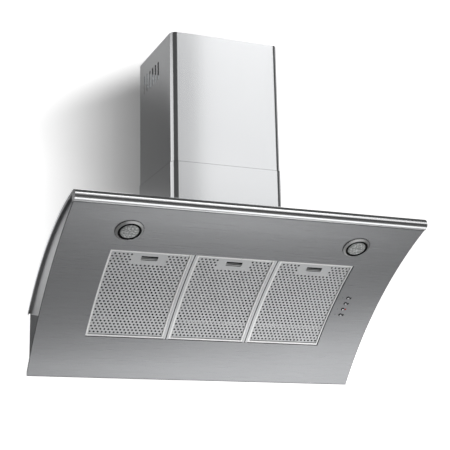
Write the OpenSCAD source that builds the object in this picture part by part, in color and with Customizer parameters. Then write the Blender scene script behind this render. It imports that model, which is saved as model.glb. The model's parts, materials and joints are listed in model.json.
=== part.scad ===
// Wall-mounted cooker hood in stainless steel: a curved canopy with a rolled front edge,
// a bowed underside panel with three filter cassettes, lamps and push buttons, and a
// two-part chimney round the blower.
// X runs to the right, Y into the wall and Z up. The origin is on the wall, in the
// middle of the four wall screws. Heights are given from the lower edge of the panel.

/* [Canopy] */
// Width of the canopy
hood_width = 900; // [840:10:1000]
// Wall to the centre of the rolled front edge
nose_reach = 432.8; // [428:0.2:440]
// Height of the centre of the rolled front edge
nose_height = 354.7; // [350:0.1:360]
// Radius of the rolled front edge
nose_r = 14; // [12:0.5:16]
// Height at which the canopy meets the wall
canopy_wall_height = 157; // [154:1:162]
// Radius of the canopy's curve
canopy_r = 702; // [680:1:740]
// Depth of the hem at the canopy's two ends
hem = 8; // [6:0.5:10]
// Thickness of the steel sheet
sheet = 1; // [0.8:0.1:1.2]
// Height of the middle of the wall screws
hang_height = 80; // [70:1:90]

/* [Underside panel] */
// Bow of the panel between its front and rear edges
panel_bow = 33; // [30:0.5:36]
// How far the canopy's ends stand out past the cheeks
canopy_overhang = 7; // [6:0.5:9]
// Height of the flange along the wall
wall_flange = 12; // [10:1:16]
// Front edge of the panel to the filter opening
opening_front = 149.9; // [146:0.1:154]
// Length of the filter opening down the panel
opening_length = 278.7; // [274:0.1:282]

/* [Filters] */
// Width of one filter cassette
filter_width = 205; // [198:1:208]
// Distance between neighbouring cassettes
filter_gap = 14.5; // [13:0.5:18]
// Thickness of a cassette
filter_depth = 9; // [8.8:0.1:10]
// Width of the cassette's rim
filter_rim = 4.8; // [4:0.1:6]
// Diameter of the perforations
hole_d = 5.2; // [4.6:0.1:5.6]
// Distance between perforations in a row
hole_pitch = 10.35; // [10:0.05:12]
// Distance between rows of perforations
row_pitch = 8.65; // [8.2:0.05:10]
// Travel of a filter latch
latch_travel = 5; // [4:0.5:5.5]

/* [Lamps and controls] */
// Distance between the two lamps
lamp_spread = 593; // [570:1:600]
// Front edge of the panel to the middle of the lamps
lamp_front = 81.5; // [76:0.5:88]
// Outer diameter of a lamp's bezel
bezel_d = 70; // [66:1:74]
// How far the bezel stands out of the panel
bezel_height = 5.5; // [4:0.5:7]
// Diameter of the lamp glass
lamp_glass_d = 48.4; // [46:0.2:50]
// Front edge of the panel to the first button
button_front = 263; // [258:1:268]
// Distance between the buttons
button_pitch = 19.7; // [18:0.1:21]
// Diameter of a button
button_d = 8.6; // [8:0.1:9.5]
// Travel of a button
button_travel = 1.5; // [1:0.1:1.8]

/* [Chimney] */
// Width of the upper chimney
chimney_width = 300.6; // [296:0.2:304]
// Depth of the upper chimney
chimney_depth = 252.9; // [250:0.1:256]
// Corner radius of the upper chimney
chimney_corner = 17.5; // [14:0.5:20]
// Height of the top of the chimney
chimney_top = 862.3; // [850:1:900]
// Height of the top of the lower chimney
chimney_seam = 517.3; // [512:0.1:524]
// Length of a vent slot
vent_length = 51; // [40:1:60]
// Width of a vent slot
vent_width = 10; // [8:0.5:12]
// Distance between vent slots
vent_pitch = 22; // [20:0.5:24]

/* [Blower] */
// Outer radius of the fan wheel
wheel_r = 70; // [66:0.5:71]
// Width of the fan wheel
wheel_width = 116; // [108:1:118]
// Number of blades
blade_count = 36; // [24:1:44]
// Radius of the motor
motor_r = 42; // [38:0.5:46]
// Radius of the motor shaft
shaft_r = 4; // [3:0.5:5]
// Outer radius of the duct collar
collar_r = 74.5; // [72:0.5:75]
// Height of the duct collar
collar_height = 60; // [50:1:70]

/* [Hidden] */

// Facets of the large arcs, of round pieces and of small holes
arc_fn = 720;
round_fn = 96;
small_fn = 24;
// How far a cut runs past what it cuts
over = 1;
// Gap between fixed pieces, and between pieces that slide or turn past each other
seam = 0.3;
slide_gap = 0.3;
// Radial clearance of a shaft in its bearing, and of a screw in its hole
bearing_gap = 0.05;
screw_gap = 0.2;

// The places of the curves, as points [Y, Z] seen along X
foot = [0, 0];
nose = [-nose_reach, nose_height];
panel_front = [-nose_reach, nose_height - nose_r];
canopy_wall = [0, canopy_wall_height];

// The panel is an arc from its front edge to its foot, hollow towards the cook
panel_chord = norm(foot - panel_front);
panel_r = (panel_chord * panel_chord / 4 + panel_bow * panel_bow) / (2 * panel_bow);
panel_along = (foot - panel_front) / panel_chord;
panel_up = [-panel_along.y, panel_along.x];
panel_centre = (foot + panel_front) / 2 - panel_up * (panel_r - panel_bow);
panel_tilt = atan2(panel_up.x, panel_up.y);
function panel_angle(s) = panel_tilt + asin((s - panel_chord / 2) / panel_r);

// The canopy is an arc that touches the rolled edge from inside and ends at the wall
canopy_span = norm(canopy_wall - nose);
canopy_along = (canopy_wall - nose) / canopy_span;
canopy_up = [-canopy_along.y, canopy_along.x];
canopy_reach = canopy_r - nose_r;
canopy_foot = (canopy_span * canopy_span + canopy_reach * canopy_reach - canopy_r * canopy_r)
    / (2 * canopy_span);
canopy_sink = sqrt(canopy_reach * canopy_reach - canopy_foot * canopy_foot);
canopy_centre = nose + canopy_along * canopy_foot - canopy_up * canopy_sink;
nose_angle = atan2(nose.x - canopy_centre.x, nose.y - canopy_centre.y);
wall_angle = atan2(canopy_wall.x - canopy_centre.x, canopy_wall.y - canopy_centre.y);

// Sides of the body
panel_inset = sheet;
panel_half = hood_width / 2 - panel_inset;
panel_return = 6;
cheek_half = hood_width / 2 - canopy_overhang;
cheek_flange = 12;
// The seam between cheek and rear box runs from the wall down to the panel
seam_wall_height = 155;
seam_reach = 108;
seam_drop = 21;
seam_run_share = 1.5;

// Filter opening and cassettes, counted down the panel from its front edge
filter_side_play = 0.5;
filter_front_play = 0.9;
filter_rear_play = 1.5;
filter_sink = 1.2;
opening_rear = opening_front + opening_length;
opening_fold = 3;
opening_half = (3 * filter_width + 2 * filter_gap) / 2 + filter_side_play;
filter_step = filter_width + filter_gap;
filter_front = opening_front + filter_front_play;
filter_rear = opening_rear - filter_rear_play;
filter_wall = 0.8;
rim_thickness = 2;
face_thickness = 0.6;
face_sink = filter_sink + rim_thickness;
face_seat = 0.05;
filter_back = filter_sink + filter_depth;
fill_gap = 0.15;
face_half = filter_width / 2 - filter_wall - fill_gap;
face_front = filter_front + filter_wall + fill_gap;
face_rear = filter_rear - filter_wall - fill_gap;
// Plain borders of the perforated face; the outermost holes go half under the rim
border_front = 8.2;
border_rear = 4;
border_side = 0.5;
rows = floor((face_rear - face_front - border_front - border_rear) / row_pitch);
cols = floor((2 * (face_half - border_side) - hole_d) / hole_pitch) + 1;
// The plain field round the latch spans four rows
plain_half = 45;
plain_rows = 4;
corner_lap = 0.04;
mesh_front = face_sink + face_seat + face_thickness;
mesh_back = filter_back - filter_wall;
mesh_layers = 6;
mesh_wire = 0.3;

// The rails stand behind the panel and part the cassettes
rail_height = 12;
rail_lap = 15;
rail_slit = 0.7;
rail_play = 0.3;
tongue_width = 24;
tongue_reach = 6;
tongue_thickness = 1.2;
tongue_spread_share = 0.32;

// Latch, in the cassette's own curve
slot_width = 42;
slot_length = 14;
slot_front = 16.6;
slot_corner = 3;
lip_share = 0.52;
latch_front = filter_front + slot_front;
latch_middle_s = latch_front + slot_length / 2;
housing_wall = 1;
housing_side = 6;
housing_head = 3;
bolt_width = 20;
bolt_thickness = 1;
// Inside of the latch housing's floor, back of the bolt and front of the slots it runs in
housing_inside = mesh_back - seam / 2 - housing_wall;
bolt_back = housing_inside - slide_gap;
bolt_slot = bolt_back - bolt_thickness - slide_gap;
lip_length = slot_length * (1 - lip_share) + slide_gap;
lip_wall = 0.9;

// Lamps
lamp_x = lamp_spread / 2;
gasket_ring = 2;
gasket_r = lamp_glass_d / 2 + bearing_gap + gasket_ring;
bezel_inner_r = gasket_r + seam / 2;
bezel_wall = 1.4;
bezel_edge = 1.2;
bezel_tail = 8;
lamp_hole_r = bezel_inner_r + bezel_wall + seam;
glass_thickness = 3.5;
glass_sink = 1.2;
lamp_can_depth = 28;
lamp_can_flange = 5;
bulb_r = 6;
bulb_length = 12;
bulb_base_r = 9;

// Buttons and what is behind them
control_inset = 30.5;
control_x = opening_half + control_inset;
button_count = 4;
button_proud = 0.9;
button_gap = 0.3;
button_flange = 1.4;
button_flange_thickness = 1.2;
stem_r = 1.6;
stem_length = 9;
light_step = 8;
light_drop = 2.5;
light_r = 1.4;
light_base_r = 2;
light_base_depth = 6;
light_gap = 0.8;
button_last = button_front + (button_count - 1) * button_pitch;
control_s = (button_front + button_last) / 2;
control_margin = 14;
control_left = 13;
control_right = 20;
control_wall = 1.5;
control_depth = 22;
board_thickness = 1.6;
board_depth = 15;
switch_size = 6;
switch_height = 3.2;
plunger_r = 1.5;
plunger_slack = 0.6;

// Lamp transformer on the back of the panel
transformer_width = 56;
transformer_length = 36;
transformer_height = 26;
transformer_ear = 8;
transformer_drop = 20;

// Blower, chimney side
cutout_half = 122;
cutout_front = 226;
cutout_rear = 24;
box_half = 134;
box_front = 236;
box_rear = 12;
box_top = 500;
wheel_y = -110;
wheel_z = 374;
wheel_gap = 5;
scroll_end = 100;
scroll_sweep = 270;
scroll_step = 6;
scroll_wall = 2;
throat_near = 12;
inlet_share = 0.88;
inlet_lip = 4;
blade_length_share = 0.17;
blade_lean_share = 0.9;
blade_curve_r = 12;
blade_thickness = 0.8;
wheel_disc = 2;
wheel_ring = 3;
hub_r = 12;
hub_length = 14;
motor_gap = 2;
spider_thickness = 3;
spider_ring = 8;
spider_arm = 14;
spider_reach = 10;
spider_arms = 3;
spider_screw_inset = 5;
screw_r = 2;
screw_head_r = 3.6;
screw_head = 2.2;
screw_length = 7;
scroll_half = wheel_width / 2 + wheel_gap + scroll_wall + wheel_gap;
scroll_start = wheel_r + wheel_gap;
box_top_under = box_top - sheet;
inlet_r = wheel_r * inlet_share;
motor_front = wheel_disc / 2 + hub_length / 2 + motor_gap;

// Collar and its flaps
collar_y = -146;
collar_wall = 2;
collar_flange = 16;
collar_screw_count = 4;
flap_height = 8;
flap_ledge = 3;
flap_thickness = 1.5;
flap_pivot_x = 4;
flap_pin_r = 1.5;
flap_knuckle_r = 2.4;
flap_edge_gap = 1;
flap_bar = 2;

// Small electrical parts on top of the blower box
capacitor_r = 14;
capacitor_height = 52;
capacitor_foot = 4;
capacitor_step = 1;
junction_length = 52;
junction_depth = 42;
junction_height = 32;
junction_wall = 2;
corner_inset = 3;
gland_bore_r = 4;
gland_thread_r = 6;
gland_body_r = 9;
gland_cap_r = 7.2;
gland_body = 10;
gland_cap = 8;

// Chimney pieces
chimney_lap = 34;
chimney_return = 12;
chimney_slide = 0.65;
vent_count = 6;
vent_top_inset = 44.3;
vent_rear = 41;
bracket_height = 40;
bracket_inset = 20;
bracket_arm = 20;
bracket_setback = 5;
bracket_hole_r = 3.5;
bracket_spread = 180;

// Wall screws in the rear box
wall_hole_r = 4;
wall_spread = 640;
wall_rise = 90;

// Lowers what is drawn from the panel's lower edge to the part's own origin
module hung() {
    translate([0, 0, -hang_height]) children();
}

// Extrudes an outline drawn in [Y, Z] along X, from x0 to x1
module along_x(x0, x1) {
    translate([x0, 0, 0]) rotate([90, 0, 90]) linear_extrude(x1 - x0) children();
}

module disc(centre, r) {
    translate(centre) circle(r = r, $fn = arc_fn);
}

// A sector of a ring, with its angles counted from up towards the wall
module band(centre, r_in, r_out, a0, a1) {
    wedge_share = 1.2;
    translate(centre) intersection() {
        difference() {
            circle(r = r_out, $fn = arc_fn);
            circle(r = r_in, $fn = arc_fn);
        }
        polygon([[0, 0], for (a = [a0, (a0 + a1) / 2, a1]) r_out * wedge_share * [sin(a), cos(a)]]);
    }
}

// A slab that follows the panel, from s0 to s1 down it and d0 to d1 behind its face
module panel_slab(s0, s1, d0, d1, x0, x1) {
    along_x(x0, x1) band(panel_centre, panel_r + d0, panel_r + d1, panel_angle(s0), panel_angle(s1));
}

// Puts a piece on the panel: X across, Y down the panel and Z into the hood
module on_panel(s, x = 0) {
    translate([x, panel_centre.x, panel_centre.y])
        rotate([-panel_angle(s), 0, 0]) translate([0, 0, panel_r]) children();
}

module block(x0, x1, y0, y1, z0, z1) {
    translate([x0, y0, z0]) cube([x1 - x0, y1 - y0, z1 - z0]);
}

module left_and_right() {
    children();
    mirror([1, 0, 0]) children();
}

// Canopy: one sheet over the top and round the rolled edge, with a hem at each end
module canopy_section() {
    band(canopy_centre, canopy_r - sheet, canopy_r, nose_angle, wall_angle);
    translate(nose) intersection() {
        difference() {
            circle(r = nose_r, $fn = arc_fn);
            circle(r = nose_r - sheet, $fn = arc_fn);
        }
        polygon([[0, 0], 2 * nose_r * [sin(nose_angle), cos(nose_angle)], 2 * nose_r * [-1, 1],
            2 * nose_r * [-1, -1], 2 * nose_r * [0, -1]]);
    }
}

module canopy_cover() {
    color("#b9bbbd") hung() difference() {
        union() {
            along_x(-hood_width / 2, hood_width / 2) canopy_section();
            left_and_right() along_x(hood_width / 2 - sheet, hood_width / 2) {
                band(canopy_centre, canopy_r - hem, canopy_r, nose_angle, wall_angle);
                disc(nose, nose_r);
            }
        }
        block(-cutout_half, cutout_half, -cutout_front, -cutout_rear, foot.y, chimney_top);
    }
}

// Outline under the seam between cheek and rear box, grown upwards by a gap
module under_seam(grow) {
    seam_end = [-seam_reach, -seam_drop] * seam_run_share;
    polygon([[over, seam_wall_height + grow + over * seam_drop / seam_reach],
        [seam_end.x, seam_wall_height + seam_end.y + grow],
        [seam_end.x, -over], [over, -over]]);
}

module cheek_section() {
    difference() {
        intersection() {
            disc(canopy_centre, canopy_r - sheet - seam);
            translate([-nose_reach, 0]) square([nose_reach, chimney_top]);
        }
        disc(panel_centre, panel_r + sheet + seam);
        under_seam(seam);
    }
}

module cheek() {
    along_x(cheek_half - sheet, cheek_half) cheek_section();
    along_x(cheek_half - cheek_flange, cheek_half) intersection() {
        cheek_section();
        difference() {
            disc(canopy_centre, canopy_r - sheet - seam);
            disc(canopy_centre, canopy_r - 2 * sheet - seam);
        }
    }
}

module cheek_left() {
    color("#a9abad") hung() mirror([1, 0, 0]) cheek();
}

module cheek_right() {
    color("#a9abad") hung() cheek();
}

// Rear box: the back that hangs on the wall, with its two three-cornered sides
module rear_box() {
    color("#6c6f72") hung() difference() {
        union() {
            left_and_right() along_x(cheek_half - sheet, cheek_half) intersection() {
                difference() {
                    under_seam(0);
                    disc(panel_centre, panel_r + sheet + seam);
                }
                translate([-nose_reach, wall_flange + seam]) square([nose_reach, canopy_wall_height]);
            }
            block(-cheek_half, cheek_half, -sheet, 0, wall_flange + seam, seam_wall_height);
        }
        for (x = [-1, 1], z = [-1, 1])
            translate([x * wall_spread / 2, 0, hang_height + z * wall_rise / 2])
                rotate([90, 0, 0]) cylinder(r = wall_hole_r, h = 4 * sheet, center = true, $fn = round_fn);
    }
}

// Underside panel: a bowed sheet with folded edges, holes for lamps and buttons
module underside_panel() {
    color("#8d9092") hung() difference() {
        union() {
            difference() {
                panel_slab(sheet, panel_chord, 0, sheet, -panel_half, panel_half);
                panel_slab(opening_front, opening_rear, -over, sheet + over, -opening_half, opening_half);
            }
            left_and_right()
                panel_slab(sheet, panel_chord, 0, panel_return, panel_half - sheet, panel_half);
            difference() {
                panel_slab(opening_front - sheet, opening_rear + sheet, 0, opening_fold,
                    -opening_half - sheet, opening_half + sheet);
                panel_slab(opening_front, opening_rear, -over, opening_fold + over,
                    -opening_half, opening_half);
            }
            block(-panel_half, panel_half, -sheet, 0, 0, wall_flange);
        }
        for (side = [-1, 1])
            on_panel(lamp_front, side * lamp_x) hole(lamp_hole_r);
        for (i = [0 : button_count - 1]) {
            on_panel(button_front + i * button_pitch, control_x) hole(button_d / 2 + button_gap);
            on_panel(button_front + i * button_pitch + light_drop, control_x + light_step)
                hole(light_r + screw_gap);
        }
        // Nothing reaches behind the wall's plane
        block(-hood_width, hood_width, 0, wall_flange, -wall_flange, 2 * wall_flange);
    }
}

module hole(r) {
    translate([0, 0, -over]) cylinder(r = r, h = sheet + 2 * over, $fn = round_fn);
}

// Rails: a frame on the back of the panel with two pairs of folded rails across it
module filter_rails() {
    ring_front = sheet + seam / 3;
    ring_gap = sheet + seam;
    color("#c3c5c6") hung() {
        difference() {
            panel_slab(opening_front - rail_lap, opening_rear + rail_lap, ring_front, ring_front + sheet,
                -opening_half - rail_lap, opening_half + rail_lap);
            panel_slab(opening_front - ring_gap, opening_rear + ring_gap, 0, opening_fold + over,
                -opening_half - ring_gap, opening_half + ring_gap);
        }
        for (side = [-1, 1]) translate([side * filter_step / 2, 0, 0]) left_and_right() {
            panel_slab(opening_front + rail_play, opening_rear - rail_play, filter_sink / 2,
                filter_sink / 2 + sheet, rail_slit / 2, filter_gap / 2 - rail_play);
            panel_slab(opening_front + rail_play, opening_rear - rail_play, filter_sink / 2,
                rail_height, rail_slit / 2, rail_slit / 2 + sheet);
            panel_slab(opening_front - rail_lap, opening_rear + rail_lap, opening_fold + seam,
                rail_height, rail_slit / 2, rail_slit / 2 + sheet);
            for (s = [opening_front - rail_lap, opening_rear + ring_gap])
                panel_slab(s, s + rail_lap - ring_gap, ring_front, rail_height,
                    rail_slit / 2, rail_slit / 2 + sheet);
        }
    }
}

// Cassette frame: a channel bent round the four sides, with two tongues at the rear
module filter_frame() {
    half = filter_width / 2;
    difference() {
        panel_slab(filter_front, filter_rear, filter_sink, filter_back, -half, half);
        panel_slab(filter_front + filter_rim, filter_rear - filter_rim, filter_sink - over,
            filter_back + over, -half + filter_rim, half - filter_rim);
        panel_slab(filter_front + filter_wall, filter_rear - filter_wall, face_sink,
            mesh_back, -half + filter_wall, half - filter_wall);
        panel_slab(filter_front - over, filter_front + filter_wall + over, bolt_slot, mesh_back,
            -bolt_width / 2 - slide_gap, bolt_width / 2 + slide_gap);
    }
    for (side = [-1, 1])
        panel_slab(filter_rear - filter_wall, filter_rear + tongue_reach,
            opening_fold + seam, opening_fold + seam + tongue_thickness,
            side * filter_width * tongue_spread_share - tongue_width / 2,
            side * filter_width * tongue_spread_share + tongue_width / 2);
}

// Where the face is creased, row by row down the cassette
face_field = face_front + border_front;
face_creases = [face_front, for (r = [0 : rows]) face_field + r * row_pitch, face_rear];
function facing(s) = [sin(panel_angle(s)), cos(panel_angle(s))];

// One row of holes, square to its part of the face and left out round the latch
module hole_row(row) {
    middle = (panel_angle(face_creases[row]) + panel_angle(face_creases[row + 1])) / 2;
    count = cols - (row + 1) % 2;
    translate([0, panel_centre.x, panel_centre.y]) rotate([-middle, 0, 0])
        translate([0, 0, panel_r + face_sink - over]) linear_extrude(face_thickness + 2 * over)
            for (c = [0 : count - 1]) {
                x = (c - (count - 1) / 2) * hole_pitch;
                if (row > plain_rows || abs(x) > plain_half)
                    translate([x, 0]) circle(d = hole_d, $fn = small_fn);
            }
}

// Perforated face: a thin sheet that follows the cassette's curve row by row
module filter_face() {
    inner_r = panel_r + face_sink + face_seat;
    difference() {
        along_x(-face_half, face_half) polygon(concat(
            [for (s = face_creases) panel_centre + inner_r * facing(s)],
            [for (i = [rows + 2 : -1 : 0])
                panel_centre + (inner_r + face_thickness) * facing(face_creases[i])]));
        for (row = [1 : rows]) hole_row(row);
        on_panel(latch_middle_s) translate([0, 0, face_sink - over])
            linear_extrude(face_thickness + 2 * over) slot_outline();
    }
}

// The finger slot, with its two rear corners rounded
module slot_outline() {
    difference() {
        square([slot_width, slot_length], center = true);
        for (side = [-1, 1]) translate([side * (slot_width / 2 - slot_corner), slot_length / 2 - slot_corner])
            difference() {
                translate([side * slot_corner / 2, slot_corner / 2])
                    square(slot_corner + corner_lap, center = true);
                circle(r = slot_corner, $fn = round_fn);
            }
    }
}

// Grease mesh: sheets of expanded metal, drawn as thin plain layers of the same weight
module filter_mesh() {
    layer_pitch = (mesh_back - mesh_front - mesh_wire - fill_gap) / (mesh_layers - 1);
    difference() {
        for (i = [0 : mesh_layers - 1])
            panel_slab(face_front, face_rear, mesh_front + fill_gap / 2 + i * layer_pitch,
                mesh_front + fill_gap / 2 + i * layer_pitch + mesh_wire, -face_half, face_half);
        on_panel(latch_middle_s) block(-housing_half() - seam, housing_half() + seam,
            -housing_front() - seam, housing_rear() + seam, mesh_front - over, mesh_back + over);
        on_panel(latch_middle_s) block(-bolt_width / 2 - seam, bolt_width / 2 + seam,
            -slot_front - filter_front_play - slot_length / 2, 0, bolt_slot - seam, mesh_back + over);
    }
}

function housing_half() = slot_width / 2 + housing_side;
function housing_front() = slot_length / 2 + housing_head;
function housing_rear() = slot_length / 2 + latch_travel + housing_head;

// Latch housing: a tub behind the slot that guides the sliding latch
module latch_housing() {
    top = mesh_front + fill_gap;
    on_panel(latch_middle_s) difference() {
        block(-housing_half(), housing_half(), -housing_front(), housing_rear(),
            top, mesh_back - seam / 2);
        block(-housing_half() + housing_wall, housing_half() - housing_wall,
            -housing_front() + housing_wall, housing_rear() - housing_wall, top - over,
            housing_inside);
        block(-bolt_width / 2 - slide_gap, bolt_width / 2 + slide_gap,
            -housing_front() - over, 0, bolt_slot, housing_inside);
    }
}

// Latch: a bolt with a curved finger lip, pulled towards the rear to free the cassette
module latch() {
    shallow = mesh_front + slide_gap;
    lip_front = slot_length / 2 - lip_length + slide_gap;
    lip_back = slot_length / 2 + slide_gap;
    bolt_end = -(latch_middle_s - filter_front) - filter_front_play + 2 * slide_gap;
    half = slot_width / 2 + housing_side - housing_wall - slide_gap;
    on_panel(latch_middle_s) {
        along_x(-half, half) difference() {
            translate([lip_front, shallow]) square([lip_back - lip_front, bolt_back - shallow]);
            translate([lip_front, shallow])
                circle(r = bolt_back - shallow - lip_wall, $fn = round_fn);
        }
        block(-bolt_width / 2, bolt_width / 2, bolt_end, lip_front + over,
            bolt_back - bolt_thickness, bolt_back);
    }
}

module at_filter(i) {
    hung() translate([i * filter_step, 0, 0]) children();
}

module filter_frame_left() {
    color("#d5d6d7") at_filter(-1) filter_frame();
}

module filter_frame_middle() {
    color("#d5d6d7") at_filter(0) filter_frame();
}

module filter_frame_right() {
    color("#d5d6d7") at_filter(1) filter_frame();
}

module filter_face_left() {
    color("#c4c6c8") at_filter(-1) filter_face();
}

module filter_face_middle() {
    color("#c4c6c8") at_filter(0) filter_face();
}

module filter_face_right() {
    color("#c4c6c8") at_filter(1) filter_face();
}

module filter_mesh_left() {
    color("#55585a") at_filter(-1) filter_mesh();
}

module filter_mesh_middle() {
    color("#55585a") at_filter(0) filter_mesh();
}

module filter_mesh_right() {
    color("#55585a") at_filter(1) filter_mesh();
}

module latch_housing_left() {
    color("#3a3c3e") at_filter(-1) latch_housing();
}

module latch_housing_middle() {
    color("#3a3c3e") at_filter(0) latch_housing();
}

module latch_housing_right() {
    color("#3a3c3e") at_filter(1) latch_housing();
}

module latch_left() {
    color("#b0b2b4") at_filter(-1) latch();
}

module latch_middle() {
    color("#b0b2b4") at_filter(0) latch();
}

module latch_right() {
    color("#b0b2b4") at_filter(1) latch();
}

module at_lamp(side) {
    hung() on_panel(lamp_front, side * lamp_x) children();
}

// Lamp bezel: a cone that seats on the panel's curve, on a tail through its hole
module lamp_bezel() {
    difference() {
        rotate_extrude($fn = round_fn) polygon([[bezel_inner_r, -bezel_height],
            [bezel_inner_r + bezel_wall, -bezel_height], [bezel_d / 2, -bezel_edge], [bezel_d / 2, 0],
            [bezel_inner_r, 0]]);
        translate([0, 0, -panel_r]) rotate([0, 90, 0]) difference() {
            cylinder(r = panel_r + over, h = 2 * bezel_d, center = true, $fn = arc_fn);
            cylinder(r = panel_r - seam / 6, h = 3 * bezel_d, center = true, $fn = arc_fn);
        }
    }
    translate([0, 0, -2 * bezel_edge]) difference() {
        cylinder(r = bezel_inner_r + bezel_wall, h = 2 * bezel_edge + bezel_tail, $fn = round_fn);
        translate([0, 0, -over])
            cylinder(r = bezel_inner_r, h = 2 * bezel_edge + bezel_tail + 2 * over, $fn = round_fn);
    }
}

// Gasket: a dark ring round the glass, with a shelf behind it
module lamp_gasket() {
    glass_front = glass_sink - bezel_height;
    shelf = glass_front + glass_thickness;
    rotate_extrude($fn = round_fn) polygon([[lamp_glass_d / 2 + bearing_gap, glass_front - seam],
        [gasket_r, glass_front - seam], [gasket_r, shelf + gasket_ring],
        [lamp_glass_d / 2 - gasket_ring, shelf + gasket_ring], [lamp_glass_d / 2 - gasket_ring, shelf],
        [lamp_glass_d / 2 + bearing_gap, shelf]]);
}

// Lamp glass: a frosted disc with a shallow dome towards the room
module lamp_glass() {
    glass_front = glass_sink - bezel_height;
    dome = 1;
    dome_r = (lamp_glass_d * lamp_glass_d / 4 + dome * dome) / (2 * dome);
    translate([0, 0, glass_front - dome + bearing_gap]) intersection() {
        cylinder(d = lamp_glass_d, h = glass_thickness + dome - 2 * bearing_gap, $fn = round_fn);
        translate([0, 0, dome_r]) sphere(r = dome_r, $fn = arc_fn);
    }
}

// Lamp housing: a can over the bezel's tail, on the back of the panel
module lamp_housing() {
    inner_r = bezel_inner_r + bezel_wall + seam;
    translate([0, 0, sheet + seam / 3]) difference() {
        union() {
            cylinder(r = inner_r + sheet, h = lamp_can_depth, $fn = round_fn);
            cylinder(r = inner_r + lamp_can_flange, h = sheet, $fn = round_fn);
        }
        translate([0, 0, -over])
            cylinder(r = inner_r, h = lamp_can_depth + over - sheet, $fn = round_fn);
        translate([0, 0, lamp_can_depth / 2])
            cylinder(r = bulb_r + seam, h = lamp_can_depth, $fn = round_fn);
    }
}

// Bulb: a capsule in a ceramic base that passes through the end of the can
module lamp_bulb() {
    end = sheet + seam / 3 + lamp_can_depth;
    tip = end - sheet - bulb_length;
    rotate_extrude($fn = round_fn) polygon([[0, tip], [bulb_r / 2, tip], [bulb_r, tip + bulb_r / 2],
        [bulb_r, end + seam / 3], [bulb_base_r, end + seam / 3],
        [bulb_base_r, end + bulb_base_r], [0, end + bulb_base_r]]);
}

module lamp_bezel_left() {
    color("#b4b6b8") at_lamp(-1) lamp_bezel();
}

module lamp_bezel_right() {
    color("#b4b6b8") at_lamp(1) lamp_bezel();
}

module lamp_gasket_left() {
    color("#1d1e1f") at_lamp(-1) lamp_gasket();
}

module lamp_gasket_right() {
    color("#1d1e1f") at_lamp(1) lamp_gasket();
}

module lamp_glass_left() {
    color("#dcdfe0") at_lamp(-1) lamp_glass();
}

module lamp_glass_right() {
    color("#dcdfe0") at_lamp(1) lamp_glass();
}

module lamp_housing_left() {
    color("#9a9c9e") at_lamp(-1) lamp_housing();
}

module lamp_housing_right() {
    color("#9a9c9e") at_lamp(1) lamp_housing();
}

module lamp_bulb_left() {
    color("#e8e6dc") at_lamp(-1) lamp_bulb();
}

module lamp_bulb_right() {
    color("#e8e6dc") at_lamp(1) lamp_bulb();
}

// Push button: a domed cap held behind the panel by its flange, with a stem to the switch
module button(i) {
    dome = 0.8;
    cap_r = button_d / 2;
    dome_r = (cap_r * cap_r + dome * dome) / (2 * dome);
    hung() on_panel(button_front + i * button_pitch, control_x) {
        translate([0, 0, -button_proud]) intersection() {
            cylinder(r = cap_r, h = button_proud + sheet + seam + button_flange_thickness / 2,
                $fn = round_fn);
            translate([0, 0, dome_r]) sphere(r = dome_r, $fn = round_fn);
        }
        translate([0, 0, sheet + seam]) {
            cylinder(r = cap_r + button_flange, h = button_flange_thickness, $fn = round_fn);
            cylinder(r = stem_r, h = stem_length - sheet - seam, $fn = round_fn);
        }
    }
}

module button_fan_off() {
    color("#c9cbcd") button(0);
}

module button_fan_low() {
    color("#c9cbcd") button(1);
}

module button_fan_high() {
    color("#c9cbcd") button(2);
}

module button_light() {
    color("#c9cbcd") button(3);
}

// Indicator lights: four clear pins that stand on the board and end in the panel
module indicator_lights() {
    color("#5b1a16") for (i = [0 : button_count - 1])
        hung() on_panel(button_front + i * button_pitch + light_drop, control_x + light_step) {
            cylinder(r = light_r, h = light_base_depth + light_r, $fn = small_fn);
            translate([0, 0, light_base_depth])
                cylinder(r = light_base_r, h = board_depth - light_gap - light_base_depth, $fn = small_fn);
        }
}

module on_control() {
    hung() on_panel(control_s, control_x) children();
}

control_half_length = (button_last - button_front) / 2 + control_margin;

// Control housing: a tub against the back of the panel
module control_housing() {
    color("#2f3133") difference() {
        on_control() difference() {
            block(-control_left, control_right, -control_half_length, control_half_length,
                -over, control_depth);
            block(-control_left + control_wall, control_right - control_wall,
                -control_half_length + control_wall, control_half_length - control_wall,
                -2 * over, control_depth - control_wall);
        }
        hung() along_x(control_x - control_left - over, control_x + control_right + over)
            disc(panel_centre, panel_r + sheet + seam);
    }
}

// Control board on the shelf of the housing
module control_board() {
    inset = control_wall + seam / 2;
    color("#2d6a3f") on_control() block(-control_left + inset, control_right - inset,
        -control_half_length + inset, control_half_length - inset,
        board_depth, board_depth + board_thickness);
}

// Switches: a body on the board and a plunger that leaves the button its travel
module tact_switches() {
    top = stem_length + button_travel + plunger_slack;
    color("#222426") on_control() for (i = [0 : button_count - 1])
        translate([0, (i - (button_count - 1) / 2) * button_pitch, 0]) {
            block(-switch_size / 2, switch_size / 2, -switch_size / 2, switch_size / 2,
                board_depth - switch_height, board_depth - seam / 6);
            translate([0, 0, top])
                cylinder(r = plunger_r, h = board_depth - switch_height / 2 - top, $fn = small_fn);
        }
}

// Lamp transformer: a potted block with two ears on the back of the panel
module lamp_transformer() {
    x = -(opening_half + cheek_half) / 2;
    s = (opening_front + opening_rear) / 2 + transformer_drop;
    color("#e3e1da") difference() {
        hung() on_panel(s, x) {
            block(-transformer_width / 2, transformer_width / 2,
                -transformer_length / 2, transformer_length / 2, 0, transformer_height);
            block(-transformer_width / 2, transformer_width / 2, -transformer_length / 2 - transformer_ear,
                transformer_length / 2 + transformer_ear, 0, 3 * sheet);
        }
        hung() along_x(x - transformer_width, x + transformer_width)
            disc(panel_centre, panel_r + sheet + seam / 3);
    }
}

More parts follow.
